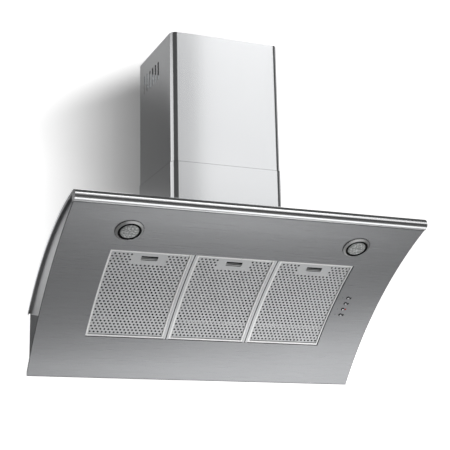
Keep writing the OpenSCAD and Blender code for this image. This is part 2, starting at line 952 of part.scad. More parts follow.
// Blower box: four sheet walls and a top, standing on the canopy round its cut-out
module blower_box() {
    throat = [wheel_y - scroll_end, wheel_y - throat_near];
    color("#a4a7aa") hung() difference() {
        block(-box_half, box_half, -box_front, -box_rear, canopy_wall_height, box_top);
        block(-box_half + sheet, box_half - sheet, -box_front + sheet, -box_rear - sheet,
            foot.y, box_top_under);
        along_x(-box_half - over, box_half + over) disc(canopy_centre, canopy_r + seam / 3);
        intersection() {
            block(-scroll_half + scroll_wall, scroll_half - scroll_wall, throat[0], throat[1],
                box_top_under - over, box_top + over);
            translate([0, collar_y, box_top_under - over])
                cylinder(r = collar_r - collar_wall, h = sheet + 2 * over, $fn = round_fn);
        }
        collar_screw_places() translate([0, 0, box_top - 2 * sheet])
            cylinder(r = screw_r + screw_gap / 2, h = 2 * sheet + over, $fn = small_fn);
    }
}

function scroll_radius(a) = scroll_start + (scroll_end - scroll_wall - scroll_start) * a / scroll_sweep;

// Outline of the scroll in [Y, Z] round the wheel's axis, opening into the throat
module scroll_outline(grow) {
    top = box_top_under - wheel_z - seam / 3;
    lift = scroll_start + grow;
    polygon([for (a = [0 : scroll_step : scroll_sweep]) (scroll_radius(a) + grow) * [sin(a), cos(a)],
        [-scroll_radius(scroll_sweep) - grow, top], [-throat_near + grow, top],
        [-throat_near + grow, lift]]);
}

// One half of the scroll, split at the middle of the wheel
module scroll() {
    translate([0, wheel_y, wheel_z - hang_height]) difference() {
        along_x(seam / 6, scroll_half) scroll_outline(scroll_wall);
        difference() {
            along_x(-over, scroll_half - scroll_wall) scroll_outline(0);
            along_x(-2 * over, scroll_half) translate([-2 * scroll_end, box_top_under - wheel_z - seam / 3])
                square([4 * scroll_end, scroll_end]);
        }
        translate([0, 0, box_top_under - wheel_z - seam / 3 - over])
            block(-over, scroll_half - scroll_wall, -scroll_radius(scroll_sweep), -throat_near, 0, 2 * over);
        rotate([0, 90, 0]) cylinder(r = inlet_r, h = 2 * scroll_half, $fn = round_fn);
        spider_screw_places() translate([0, 0, -2 * scroll_wall])
            cylinder(r = screw_r + screw_gap / 2, h = 4 * scroll_wall, $fn = small_fn);
    }
}

// Inlet bell: a rounded lip round the inlet that guides the air into the wheel
module inlet_bell() {
    translate([0, wheel_y, wheel_z - hang_height]) rotate([0, 90, 0])
        translate([0, 0, scroll_half - scroll_wall - inlet_lip]) difference() {
            cylinder(r = inlet_r + scroll_wall, h = inlet_lip + scroll_wall / 2, $fn = round_fn);
            translate([0, 0, -over])
                cylinder(r = inlet_r, h = inlet_lip + scroll_wall + 2 * over, $fn = round_fn);
        }
}

module scroll_left() {
    color("#4b4e51") mirror([1, 0, 0]) {
        scroll();
        inlet_bell();
    }
}

module scroll_right() {
    color("#4b4e51") {
        scroll();
        inlet_bell();
    }
}

// Fan wheel: forward-curved blades between two rings, on a middle disc and a hub
module impeller() {
    root_r = wheel_r * (1 - blade_length_share);
    bend = blade_curve_r;
    place_r = (wheel_r + root_r) / 2 - bend / 3;
    color("#6f7376") translate([0, wheel_y, wheel_z - hang_height]) rotate([0, 90, 0]) difference() {
        union() {
            translate([0, 0, -wheel_width / 2]) linear_extrude(wheel_width) intersection() {
                difference() {
                    circle(r = wheel_r, $fn = round_fn);
                    circle(r = root_r, $fn = round_fn);
                }
                for (i = [0 : blade_count - 1]) rotate(i * 360 / blade_count)
                    translate([place_r, bend * blade_lean_share]) difference() {
                        circle(r = bend, $fn = round_fn);
                        circle(r = bend - blade_thickness, $fn = round_fn);
                        translate([-2 * bend, 0]) square(4 * bend);
                    }
            }
            for (z = [-wheel_width / 2, wheel_width / 2 - wheel_ring]) translate([0, 0, z]) difference() {
                cylinder(r = wheel_r, h = wheel_ring, $fn = round_fn);
                translate([0, 0, -over]) cylinder(r = root_r, h = wheel_ring + 2 * over, $fn = round_fn);
            }
            cylinder(r = wheel_r, h = wheel_disc, center = true, $fn = round_fn);
            cylinder(r = hub_r, h = hub_length + wheel_disc, center = true, $fn = round_fn);
        }
        cylinder(r = shaft_r + bearing_gap, h = 2 * wheel_width, center = true, $fn = round_fn);
    }
}

module motor_shaft() {
    front = -(hub_length + wheel_disc) / 2 - wheel_disc;
    color("#d7d9db") translate([0, wheel_y, wheel_z - hang_height]) rotate([0, 90, 0])
        translate([0, 0, front])
            cylinder(r = shaft_r, h = scroll_half - front - spider_thickness, $fn = round_fn);
}

// Motor: a round can with cooling ribs, inside the wheel
module motor() {
    length = scroll_half - motor_front;
    rib_count = 12;
    rib = 2;
    color("#8f9396") translate([0, wheel_y, wheel_z - hang_height]) rotate([0, 90, 0])
        translate([0, 0, motor_front]) difference() {
            union() {
                cylinder(r = motor_r - rib, h = length, $fn = round_fn);
                for (i = [0 : rib_count - 1]) rotate(i * 360 / rib_count)
                    translate([0, -rib / 2, rib]) cube([motor_r, rib, length - 2 * rib]);
            }
            translate([0, 0, -over])
                cylinder(r = shaft_r + bearing_gap, h = length + 2 * over, $fn = round_fn);
        }
}

module spider_screw_places() {
    rotate([0, 90, 0]) translate([0, 0, scroll_half]) for (i = [0 : spider_arms - 1])
        rotate(i * 360 / spider_arms) translate([inlet_r + spider_screw_inset, 0, 0]) children();
}

// Spider: three arms that carry the motor across the inlet
module motor_spider() {
    color("#7b7f82") translate([0, wheel_y, wheel_z - hang_height]) difference() {
        rotate([0, 90, 0]) translate([0, 0, scroll_half + seam / 6]) {
            cylinder(r = motor_r, h = spider_thickness, $fn = round_fn);
            for (i = [0 : spider_arms - 1]) rotate(i * 360 / spider_arms)
                translate([0, -spider_arm / 2, 0])
                    cube([inlet_r + spider_reach, spider_arm, spider_thickness]);
        }
        rotate([0, 90, 0]) translate([0, 0, scroll_half - over])
            cylinder(r = motor_r - spider_ring, h = spider_thickness + 3 * over, $fn = round_fn);
        spider_screw_places()
            cylinder(r = screw_r + screw_gap / 2, h = 3 * spider_thickness, $fn = small_fn);
    }
}

// A pan-head screw, with its head on the plane Z = 0 and its shank below it
module pan_screw() {
    translate([0, 0, -screw_length]) cylinder(r = screw_r, h = screw_length + screw_head / 2, $fn = small_fn);
    cylinder(r = screw_head_r, h = screw_head, $fn = small_fn);
}

module motor_screws() {
    color("#c8cacc") translate([0, wheel_y, wheel_z - hang_height])
        spider_screw_places() translate([0, 0, spider_thickness + seam / 3]) pan_screw();
}

module collar_screw_places() {
    for (i = [0 : collar_screw_count - 1]) rotate_about_collar(i * 360 / collar_screw_count)
        translate([collar_r + collar_flange / 2, 0, 0]) children();
}

module rotate_about_collar(a) {
    translate([0, collar_y, 0]) rotate(a) children();
}

// Duct collar: a flanged tube with a ledge and a bar that the flaps rest on.
// Its flange stops at the front of the blower box.
module outlet_collar() {
    inner_r = collar_r - collar_wall;
    bottom = box_top + seam / 6;
    flange_r = collar_r + collar_flange;
    color("#3b3d40") hung() difference() {
        translate([0, collar_y, bottom]) {
            difference() {
                union() {
                    cylinder(r = collar_r, h = collar_height, $fn = round_fn);
                    intersection() {
                        cylinder(r = flange_r, h = collar_wall, $fn = round_fn);
                        block(-flange_r, flange_r, -box_front - collar_y, flange_r, -over, collar_height);
                    }
                }
                translate([0, 0, flap_height - flap_thickness / 2 - seam])
                    cylinder(r = inner_r, h = collar_height, $fn = round_fn);
                translate([0, 0, -over])
                    cylinder(r = inner_r - flap_ledge, h = collar_height, $fn = round_fn);
                for (side = [-1, 1]) translate([side * flap_pivot_x, 0, flap_height]) rotate([90, 0, 0])
                    cylinder(r = flap_pin_r + bearing_gap, h = 3 * collar_r, center = true,
                        $fn = small_fn);
            }
            intersection() {
                block(-flap_bar / 2, flap_bar / 2, -collar_r, collar_r, 0, flap_height + flap_knuckle_r);
                cylinder(r = collar_r - collar_wall / 2, h = collar_height, $fn = round_fn);
            }
        }
        collar_screw_places() translate([0, 0, bottom - over])
            cylinder(r = screw_r + screw_gap / 2, h = collar_wall + 2 * over, $fn = small_fn);
    }
}

module collar_screws() {
    color("#c8cacc") hung() collar_screw_places()
        translate([0, 0, box_top + collar_wall + seam / 3]) pan_screw();
}

// Non-return flap: a half disc on a pin, which the airflow lifts
module flap() {
    inner_r = collar_r - collar_wall;
    pin_half = sqrt(inner_r * inner_r - flap_pivot_x * flap_pivot_x) + collar_wall / 2;
    knuckle_half = inner_r - 2 * flap_ledge;
    translate([0, collar_y, box_top + seam / 6 + flap_height - hang_height]) {
        translate([flap_pivot_x, 0, 0]) rotate([90, 0, 0]) {
            cylinder(r = flap_pin_r, h = 2 * pin_half, center = true, $fn = small_fn);
            cylinder(r = flap_knuckle_r, h = 2 * knuckle_half, center = true, $fn = small_fn);
        }
        intersection() {
            cylinder(r = inner_r - flap_edge_gap, h = flap_thickness, center = true, $fn = round_fn);
            block(flap_pivot_x, collar_r, -collar_r, collar_r, -flap_thickness, flap_thickness);
        }
    }
}

module flap_left() {
    color("#54585b") mirror([1, 0, 0]) flap();
}

module flap_right() {
    color("#54585b") flap();
}

// Run capacitor standing on the blower box
module capacitor() {
    x = box_half - corner_inset - capacitor_r;
    y = -box_front + corner_inset + capacitor_r;
    color("#d9d9d6") hung() translate([x, y, box_top + seam / 6]) {
        cylinder(r = capacitor_r, h = capacitor_foot, $fn = round_fn);
        cylinder(r = capacitor_r - capacitor_step, h = capacitor_height, $fn = round_fn);
    }
}

// Junction box on the blower box, where the mains cable ends
junction_left = -box_half + corner_inset;
junction_front = -box_front + corner_inset;
junction_floor = box_top + seam / 6;

module junction_box() {
    color("#e4e2db") hung() difference() {
        block(junction_left, junction_left + junction_length,
            junction_front, junction_front + junction_depth,
            junction_floor, junction_floor + junction_height);
        block(junction_left + junction_wall, junction_left + junction_length - junction_wall,
            junction_front + junction_wall, junction_front + junction_depth - junction_wall,
            junction_floor + junction_wall, junction_floor + junction_height - junction_wall);
        gland_place()
            cylinder(r = gland_thread_r + seam / 3, h = 3 * junction_wall, center = true, $fn = round_fn);
    }
}

module gland_place() {
    translate([junction_left + junction_length / 2, junction_front + junction_depth / 2,
        junction_floor + junction_height]) children();
}

// Cable gland: a threaded sleeve with a hexagon and a domed cap
module cable_gland() {
    color("#2a2b2d") hung() gland_place() difference() {
        union() {
            translate([0, 0, -2 * junction_wall])
                cylinder(r = gland_thread_r, h = 3 * junction_wall, $fn = round_fn);
            translate([0, 0, seam / 3]) cylinder(r = gland_body_r, h = gland_body, $fn = 6);
            translate([0, 0, seam / 3])
                cylinder(r = gland_cap_r, h = gland_body + gland_cap, $fn = round_fn);
        }
        translate([0, 0, -3 * junction_wall])
            cylinder(r = gland_bore_r, h = gland_body + gland_cap + 4 * junction_wall, $fn = round_fn);
    }
}

// A rectangle open to the wall's side, with rounded front corners
module rounded_front(half, depth, corner) {
    translate([-half, -depth + corner]) square([2 * half, depth - corner]);
    translate([-half + corner, -depth]) square([2 * half - 2 * corner, depth]);
    for (side = [-1, 1]) translate([side * (half - corner), -depth + corner])
        circle(r = corner, $fn = round_fn);
}

// Section of a chimney: a U with two returns at the wall
module chimney_section(half, depth, corner) {
    difference() {
        rounded_front(half, depth, corner);
        difference() {
            rounded_front(half - sheet, depth - sheet, corner - sheet);
            translate([-2 * half, -sheet]) square([4 * half, 2 * sheet]);
        }
        translate([-half + chimney_return, -2 * sheet]) square([2 * (half - chimney_return), 4 * sheet]);
    }
}

upper_half = chimney_width / 2;
lower_half = upper_half + sheet + chimney_slide;
lower_depth = chimney_depth + sheet + chimney_slide;

// Lower chimney, cut along the canopy's curve
module chimney_lower() {
    color("#b9bbbd") hung() difference() {
        translate([0, 0, canopy_wall_height]) linear_extrude(chimney_seam - canopy_wall_height)
            chimney_section(lower_half, lower_depth, chimney_corner + sheet + chimney_slide);
        along_x(-chimney_width, chimney_width) disc(canopy_centre, canopy_r + seam / 3);
    }
}

// Upper chimney, which slides down inside the lower one, with vents in both sides.
// Its returns stand clear of those of the lower chimney.
module chimney_upper() {
    bottom = chimney_seam - chimney_lap;
    setback = sheet + chimney_slide;
    color("#c6c8ca") hung() difference() {
        translate([0, 0, bottom]) linear_extrude(chimney_top - bottom) {
            translate([0, -setback]) chimney_section(upper_half, chimney_depth - setback, chimney_corner);
        }
        for (i = [0 : vent_count - 1])
            along_x(-chimney_width, chimney_width)
                translate([-vent_rear - i * vent_pitch, chimney_top - vent_top_inset]) vent_outline();
    }
}

// A vent slot hangs from its upper end
module vent_outline() {
    translate([-vent_width / 2, vent_width / 2 - vent_length]) square([vent_width, vent_length - vent_width]);
    for (y = [-vent_width / 2, vent_width / 2 - vent_length])
        translate([0, y]) circle(d = vent_width, $fn = round_fn);
}

// Chimney bracket: a plate on the wall with two sprung ears inside the chimney
module chimney_bracket() {
    top = chimney_top - bracket_inset;
    ear_x = upper_half - sheet - seam;
    plate_x = upper_half - chimney_return - bracket_setback;
    color("#a4a7aa") hung() difference() {
        union() {
            block(-plate_x, plate_x, -sheet, 0, top - bracket_height, top);
            left_and_right() {
                block(plate_x - sheet, plate_x, -bracket_arm, 0, top - bracket_height, top);
                block(plate_x - sheet, ear_x, -bracket_arm, -bracket_arm + sheet, top - bracket_height, top);
                block(ear_x - sheet, ear_x, -bracket_arm, -bracket_setback, top - bracket_height, top);
            }
        }
        for (side = [-1, 1]) translate([side * bracket_spread / 2, 0, top - bracket_height / 2])
            rotate([90, 0, 0]) cylinder(r = bracket_hole_r, h = 4 * sheet, center = true, $fn = round_fn);
    }
}

canopy_cover();
cheek_left();
cheek_right();
rear_box();
underside_panel();
filter_rails();
filter_frame_left();
filter_frame_middle();
filter_frame_right();
filter_face_left();
filter_face_middle();
filter_face_right();
filter_mesh_left();
filter_mesh_middle();
filter_mesh_right();
latch_housing_left();
latch_housing_middle();
latch_housing_right();
latch_left();
latch_middle();
latch_right();
lamp_bezel_left();
lamp_bezel_right();
lamp_gasket_left();
lamp_gasket_right();
lamp_glass_left();
lamp_glass_right();
lamp_housing_left();
lamp_housing_right();
lamp_bulb_left();
lamp_bulb_right();
button_fan_off();
button_fan_low();
button_fan_high();
button_light();
indicator_lights();
control_housing();
control_board();
tact_switches();
lamp_transformer();
blower_box();
scroll_left();
scroll_right();
impeller();
motor_shaft();
motor();
motor_spider();
motor_screws();
outlet_collar();
collar_screws();
flap_left();
flap_right();
capacitor();
junction_box();
cable_gland();
chimney_lower();
chimney_upper();
chimney_bracket();
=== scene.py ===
"""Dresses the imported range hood: brushed steel, aluminium cassettes, lamps, buttons and blower."""
import json
import math

import bmesh
import bpy
from mathutils import Matrix, Quaternion, Vector


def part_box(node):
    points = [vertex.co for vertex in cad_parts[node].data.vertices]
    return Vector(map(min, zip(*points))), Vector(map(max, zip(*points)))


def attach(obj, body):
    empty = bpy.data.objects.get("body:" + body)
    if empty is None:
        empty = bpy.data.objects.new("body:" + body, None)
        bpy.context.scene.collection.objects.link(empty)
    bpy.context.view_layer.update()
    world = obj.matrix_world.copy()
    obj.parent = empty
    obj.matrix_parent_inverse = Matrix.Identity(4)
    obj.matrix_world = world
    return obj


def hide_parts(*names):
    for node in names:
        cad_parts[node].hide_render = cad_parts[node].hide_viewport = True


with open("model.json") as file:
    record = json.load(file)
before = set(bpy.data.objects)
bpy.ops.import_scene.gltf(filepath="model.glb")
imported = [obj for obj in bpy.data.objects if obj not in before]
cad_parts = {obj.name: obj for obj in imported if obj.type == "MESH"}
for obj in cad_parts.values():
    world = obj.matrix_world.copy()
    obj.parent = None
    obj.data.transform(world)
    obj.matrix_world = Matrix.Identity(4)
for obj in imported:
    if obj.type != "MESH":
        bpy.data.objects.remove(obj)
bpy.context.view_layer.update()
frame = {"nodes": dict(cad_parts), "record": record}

# Camera, low and to the left of the hood, as for a picture that shows its underside. Its place is in
# metres, and its focal length in pixels of a picture 450 pixels wide.


def new_object(name, data):
    """A new object in the scene, at the origin"""
    made = bpy.data.objects.new(name, data)
    bpy.context.scene.collection.objects.link(made)
    return made


picture_width, focal_pixels, sensor_mm = 450, 1089.3, 36.0
eye = Vector((-1.04848, -2.68338, -0.35967))
yaw, pitch, roll = (math.radians(a) for a in (20.709, 13.679, -0.589))
ahead = Vector((math.sin(yaw) * math.cos(pitch), math.cos(yaw) * math.cos(pitch), math.sin(pitch)))
level = Vector((math.cos(yaw), -math.sin(yaw), 0))
upright = level.cross(ahead)
across = level * math.cos(roll) + upright * math.sin(roll)
above = upright * math.cos(roll) - level * math.sin(roll)
lens = bpy.data.cameras.new("camera")
lens.sensor_width = sensor_mm
lens.lens = sensor_mm * focal_pixels / picture_width
lens.shift_x = 0.0981
camera = new_object("camera", lens)
camera.matrix_world = Matrix.Translation(eye) @ Matrix((across, above, -ahead)).transposed().to_4x4()
bpy.context.scene.camera = camera

# Studio sweep: white matte vinyl far behind and below the hood, so the hood can be seen from all sides. It
# is lit from behind and fades to the left, where the hood's left sides mirror it. Left of the chimney a
# soft shade is painted on it, like the one a hood throws on its wall, and painted shade darkens it behind
# the vents.


def linear(hex_colour):
    """An sRGB hex value as the linear colour that a shader takes"""
    parts = [int(hex_colour[i:i + 2], 16) / 255 for i in (1, 3, 5)]
    return [c / 12.92 if c <= 0.04045 else ((c + 0.055) / 1.055) ** 2.4 for c in parts] + [1.0]


def fill(tree, node, values):
    """Fills a node's inputs with values or with other nodes' outputs"""
    for socket, value in values.items():
        if isinstance(value, bpy.types.NodeSocket):
            tree.links.new(value, node.inputs[socket])
        else:
            node.inputs[socket].default_value = value


def add(tree, kind, values=None, **options):
    """Adds a node with its options and fills its inputs"""
    node = tree.nodes.new(kind)
    for option, choice in options.items():
        setattr(node, option, choice)
    fill(tree, node, values or {})
    return node


def new_material(name, values):
    """A material whose shader has these values and is joined to the output"""
    material = bpy.data.materials.new(name)
    material.use_nodes = True
    tree = material.node_tree
    tree.nodes.clear()
    shader = add(tree, "ShaderNodeBsdfPrincipled", values)
    add(tree, "ShaderNodeOutputMaterial", {"Surface": shader.outputs[0]})
    return material, tree, shader


def paint(tree, share, tone, ground=None):
    """Lays a tone over a ground as far as the share says, or over the colour that is there already"""
    colour = tree.nodes["Principled BSDF"].inputs["Base Color"]
    under = linear(ground) if ground else colour.links[0].from_socket
    mixed = add(tree, "ShaderNodeMix", {0: share, 6: under, 7: linear(tone)}, data_type="RGBA")
    tree.links.new(mixed.outputs[2], colour)


def soft_patch(tree, *edges, full=1.0):
    """A share that is full inside a patch and falls softly to nothing past each of its edges.
    An edge is a coordinate, its value where the share is nothing, and its value where it is full."""
    share = full
    for coordinate, nothing_at, full_at in edges:
        step = add(tree, "ShaderNodeMapRange", {0: coordinate, 1: nothing_at, 2: full_at, 4: share},
                   interpolation_type="SMOOTHSTEP")
        share = step.outputs[0]
    return share


def place_mesh(name, points, faces, material):
    """A new object at the origin from points in metres"""
    mesh = bpy.data.meshes.new(name)
    mesh.from_pydata([tuple(p) for p in points], [], faces)
    mesh.materials.append(material)
    return new_object(name, mesh)


sweep_vinyl, tree, shader = new_material("matte_white_vinyl", {
    "Roughness": 0.9, "Emission Color": linear("#ffffff")})
place = add(tree, "ShaderNodeTexCoord").outputs["Object"]
at = add(tree, "ShaderNodeSeparateXYZ", {0: place}).outputs
steep_line = add(tree, "ShaderNodeVectorMath", {0: place, 1: (-1, 0, 1)},
                 operation="DOT_PRODUCT").outputs["Value"]
gentle_line = add(tree, "ShaderNodeVectorMath", {0: place, 1: (-0.45, 0, 1)},
                  operation="DOT_PRODUCT").outputs["Value"]
# The edges of light and shade on the sweep are in metres, X to the right and Z up.
left_dark, left_lit = -1.1, 0.1
from_left = soft_patch(tree, (at["X"], left_dark, left_lit))
back_light = soft_patch(tree, (at["X"], 4.9, 3.85), (at["Z"], 4.4, 3.7), full=from_left)
to_left = soft_patch(tree, (at["X"], left_lit, left_dark))
low_band = soft_patch(tree, (at["Z"], 0.42, 1.1), (at["Z"], 1.56, 1.22), full=0.62)
high_band = soft_patch(tree, (at["Z"], 2.15, 2.5), full=0.33)
bands = add(tree, "ShaderNodeMath", {0: low_band, 1: high_band}, operation="ADD")
side_light = add(tree, "ShaderNodeMath", {0: bands.outputs[0], 1: to_left}, operation="MULTIPLY")
# Painted shade: a soft shadow of the hood on the sweep, and a darker patch behind the vents.
hood_shade = soft_patch(tree, (at["X"], 0.12, 1.26), (at["X"], 1.6, 1.3), (gentle_line, 2.06, 1.72),
                        (at["Z"], 0.28, 0.42))
vent_shade = soft_patch(tree, (at["X"], 1.17, 1.24), (at["X"], 2.0, 1.7), (steep_line, 1.30, 1.24),
                        (at["Z"], 1.2, 1.7))
unlit_vents = soft_patch(tree, (at["X"], 1.40, 1.33), full=vent_shade)
unlit = add(tree, "ShaderNodeMath", {0: hood_shade, 1: unlit_vents}, operation="MAXIMUM")
lit = add(tree, "ShaderNodeMath", {0: 1.0, 1: unlit.outputs[0]}, operation="SUBTRACT")
glow = add(tree, "ShaderNodeMath", {0: back_light, 1: lit.outputs[0], 2: side_light.outputs[0]},
           operation="MULTIPLY_ADD")
above_floor = soft_patch(tree, (at["Z"], -1.0, -0.25), full=glow.outputs[0])
fill(tree, shader, {"Emission Strength": above_floor})
paint(tree, from_left, "#e9e9e9", "#c4c4c4")
# Painted shade: the sweep's colour is dark grey behind the vents.
paint(tree, vent_shade, "#565656")
near_end, floor_height, wall_depth, bend_radius, top_height, half_width = -9.0, -3.4, 3.9, 2.0, 7.0, 9.0
bend_steps = 24
sweep_line = [(near_end, floor_height)]
for i in range(bend_steps + 1):
    turn = math.radians(90 * i / bend_steps)
    sweep_line.append((wall_depth - bend_radius + bend_radius * math.sin(turn),
                       floor_height + bend_radius - bend_radius * math.cos(turn)))
sweep_line.append((wall_depth, top_height))
sweep_points = [(x, y, z) for y, z in sweep_line for x in (-half_width, half_width)]
sweep_faces = [(2 * i, 2 * i + 1, 2 * i + 3, 2 * i + 2) for i in range(len(sweep_line) - 1)]
sweep = place_mesh("studio_sweep", sweep_points, sweep_faces, sweep_vinyl)
for face in sweep.data.polygons:
    face.use_smooth = True

# Studio lights. The front cards stand beside the camera, so the chimney's corner turns from bright
# to dark there and its front grows brighter to the right. The ceiling softbox lights the canopy, the
# left card the left sides, and the floor lights make the pools that the underside mirrors. The right
# and rear cards light the sides that the picture doesn't show.


def softbox(name, where, aim, width, height, power, turn=0.0):
    """A rectangular studio light that looks from one point to another, turned in its own plane.
    Lengths are in metres, the power is in watts and the turn in radians."""
    light = bpy.data.lights.new(name, "AREA")
    light.shape = "RECTANGLE"
    light.size, light.size_y = width, height
    light.energy = power
    lamp = new_object(name, light)
    lamp.location = where
    lamp.rotation_mode = "QUATERNION"
    facing = (Vector(aim) - Vector(where)).to_track_quat("-Z", "Y")
    lamp.rotation_quaternion = facing @ Quaternion((0, 0, 1), turn)
    lamp.visible_camera = False


softbox("front_card", (1.85, -3.4, 2.0), (1.85, 0, 1.9), 3.2, 2.0, 14.4)
softbox("front_card_right", (2.22, -3.5, 2.0), (2.22, 0, 1.9), 2.3, 2.1, 7.6)
softbox("ceiling_softbox", (1.4, -3.7, 3.3), (1.4, -3.69, -3), 2.8, 1.8, 28.5)
softbox("left_card", (-3.2, 0.2, 0.9), (0, -0.1, 0.9), 3.8, 2.6, 30)
softbox("floor_light_front", (1.80, -1.88, -3.1), (1.80, -1.87, -3.4), 3.8, 2.45, 55, 0.35)
softbox("floor_light_rear", (1.80, 1.79, -2.68), (1.80, 1.80, -3.4), 1.7, 1.27, 18)
softbox("right_card", (4.2, 0.9, 1.5), (0, -0.1, 0.5), 2.6, 2.4, 11)
softbox("rear_card", (0.9, 3.1, 2.7), (0, 0, 0.2), 2.6, 1.6, 13)
world = bpy.data.worlds.new("studio")
world.use_nodes = True
background = world.node_tree.nodes["Background"]
fill(world.node_tree, background, {"Color": linear("#f3f3f3"), "Strength": 0.12})
bpy.context.scene.world = world
bpy.context.scene.view_settings.view_transform = "Standard"

# Rear box: the folded back that hangs on four wall screws, with a three-cornered side at
# each end. Coated sheet steel, so it is darker and duller than the brushed parts.
bodies = frame["record"]["behaviour"]["bodies"]
body_of_node = {node: body for body, members in bodies.items() for node in members}


def stand_in(piece, node):
    """Stands a piece in for a node: hides the node and puts the piece on the node's body"""
    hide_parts(node)
    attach(piece, body_of_node[node])


def dress(node, material, grain=None):
    """Stands a welded copy with smooth curves in for a node. Its map runs along the grain's axis."""
    weld, crease = 2e-6, math.radians(28)
    mesh = frame["nodes"][node].data.copy()
    piece = new_object(node + "_piece", mesh)
    mesh.materials.clear()
    mesh.materials.append(material)
    work = bmesh.new()
    work.from_mesh(mesh)
    bmesh.ops.remove_doubles(work, verts=work.verts, dist=weld)
    for face in work.faces:
        face.smooth = True
        face.material_index = 0
    for edge in work.edges:
        edge.smooth = len(edge.link_faces) == 2 and edge.calc_face_angle(math.pi) < crease
    if grain is not None:
        sheet_map = work.loops.layers.uv.new("grain")
        for face in work.faces:
            flat = [abs(c) for c in face.normal]
            along = grain if flat[grain] < 0.9 else (grain + 1) % 3
            over = min((i for i in range(3) if i != along), key=lambda i: flat[i])
            for corner in face.loops:
                corner[sheet_map].uv = (corner.vert.co[along], corner.vert.co[over])
    work.to_mesh(mesh)
    work.free()
    if mesh.attributes.get("custom_normal"):
        mesh.attributes.remove(mesh.attributes["custom_normal"])
    stand_in(piece, node)
    return piece


# The coating has an orange-peel grit about 1 mm wide, and its tone drifts over about 110 mm.
back_material, tree, shader = new_material("coated_sheet_steel", {"Metallic": 0.35})
place = add(tree, "ShaderNodeTexCoord").outputs["Object"]
grit = add(tree, "ShaderNodeTexNoise", {"Vector": place, "Scale": 900.0, "Detail": 3.0})
cloud = add(tree, "ShaderNodeTexNoise", {"Vector": place, "Scale": 9.0, "Detail": 4.0})
dull = add(tree, "ShaderNodeMapRange", {0: grit.outputs[0], 3: 0.42, 4: 0.58})
bump = add(tree, "ShaderNodeBump", {"Height": grit.outputs[0], "Strength": 0.12, "Distance": 0.0003})
fill(tree, shader, {"Roughness": dull.outputs[0], "Normal": bump.outputs[0]})
paint(tree, cloud.outputs[0], "#67696b", "#5c5e60")
dress("rear_box", back_material)

# Canopy: one stainless sheet rolled over the front edge, with a hem at each end.
# Brushed across its width and polished a little brighter than the underside.


def brushed_steel(name, dark, light, along, rough):
    """Stainless steel sheet with a brushed grain along one axis, which draws out what it mirrors.
    Real lines are about 0.1 mm wide. They are drawn 0.9 mm wide and 200 mm long so that they show,
    with a relief of lines 0.4 mm wide and clouds 200 mm wide."""
    material, tree, shader = new_material(name, {"Metallic": 1.0, "Anisotropic": 0.55})
    place = add(tree, "ShaderNodeTexCoord").outputs["Object"]
    long_lines, fine_lines = [1100.0] * 3, [2400.0] * 3
    long_lines[along], fine_lines[along] = 5.0, 12.0
    stretch = add(tree, "ShaderNodeMapping", {"Vector": place, "Scale": long_lines})
    fine_stretch = add(tree, "ShaderNodeMapping", {"Vector": place, "Scale": fine_lines})
    lines = add(tree, "ShaderNodeTexNoise", {
        "Vector": stretch.outputs[0], "Scale": 1.0, "Detail": 4.0, "Roughness": 0.6})
    fine = add(tree, "ShaderNodeTexNoise", {"Vector": fine_stretch.outputs[0], "Scale": 1.0, "Detail": 2.0})
    cloud = add(tree, "ShaderNodeTexNoise", {"Vector": place, "Scale": 5.0, "Detail": 3.0})
    mixed = add(tree, "ShaderNodeMix", {
        0: 0.35, 2: lines.outputs[0], 3: cloud.outputs[0]}, data_type="FLOAT")
    tone = add(tree, "ShaderNodeMapRange", {0: mixed.outputs[0], 1: 0.2, 2: 0.8})
    dull = add(tree, "ShaderNodeMapRange", {
        0: lines.outputs[0], 1: 0.3, 2: 0.7, 3: rough - 0.012, 4: rough + 0.012})
    bump = add(tree, "ShaderNodeBump", {"Height": fine.outputs[0], "Strength": 0.035, "Distance": 0.00004})
    tangent = add(tree, "ShaderNodeTangent", direction_type="UV_MAP", uv_map="grain")
    fill(tree, shader, {
        "Roughness": dull.outputs[0], "Normal": bump.outputs[0], "Tangent": tangent.outputs[0]})
    paint(tree, tone.outputs[0], light, dark)
    return material


across_width, front_to_back, upwards = 0, 1, 2
canopy_steel = brushed_steel("stainless_304_canopy", "#cfd0d1", "#dbdcdd", across_width, 0.17)
dress("canopy_cover", canopy_steel, across_width)

# Cheeks: the curved end plates that close the hood between canopy, underside and rear box.
# Stainless sheet, brushed along its length and duller than the canopy.
cheek_steel = brushed_steel("stainless_304_cheek", "#bcbdbf", "#cccdce", front_to_back, 0.3)
dress("cheek_left", cheek_steel, front_to_back)
dress("cheek_right", cheek_steel, front_to_back)

# Underside panel: the bowed sheet with folded edges that faces the cook, brushed across its width.
# Its back and its cut edges are painted dark as shade, in a dull mill finish, so gaps round it look dark.
# The bow's radius and the place of its axis are in metres, as in the CAD.
panel_radius = 1.165713
panel_middle_y, panel_middle_z = -0.917032, -0.799681


def from_axis(point):
    """A point's distance from the long axis that the panel is bowed round"""
    return math.hypot(point.y - panel_middle_y, point.z - panel_middle_z)


def lean_of(point):
    """A point's angle round that axis, which is 0 straight above it and grows to the rear"""
    return math.atan2(point.y - panel_middle_y, point.z - panel_middle_z)


def two_finishes(piece, material, belongs):
    """Gives the faces that pass a test the second material"""
    piece.data.materials.append(material)
    for face in piece.data.polygons:
        if belongs(face.center, face.normal):
            face.material_index = 1


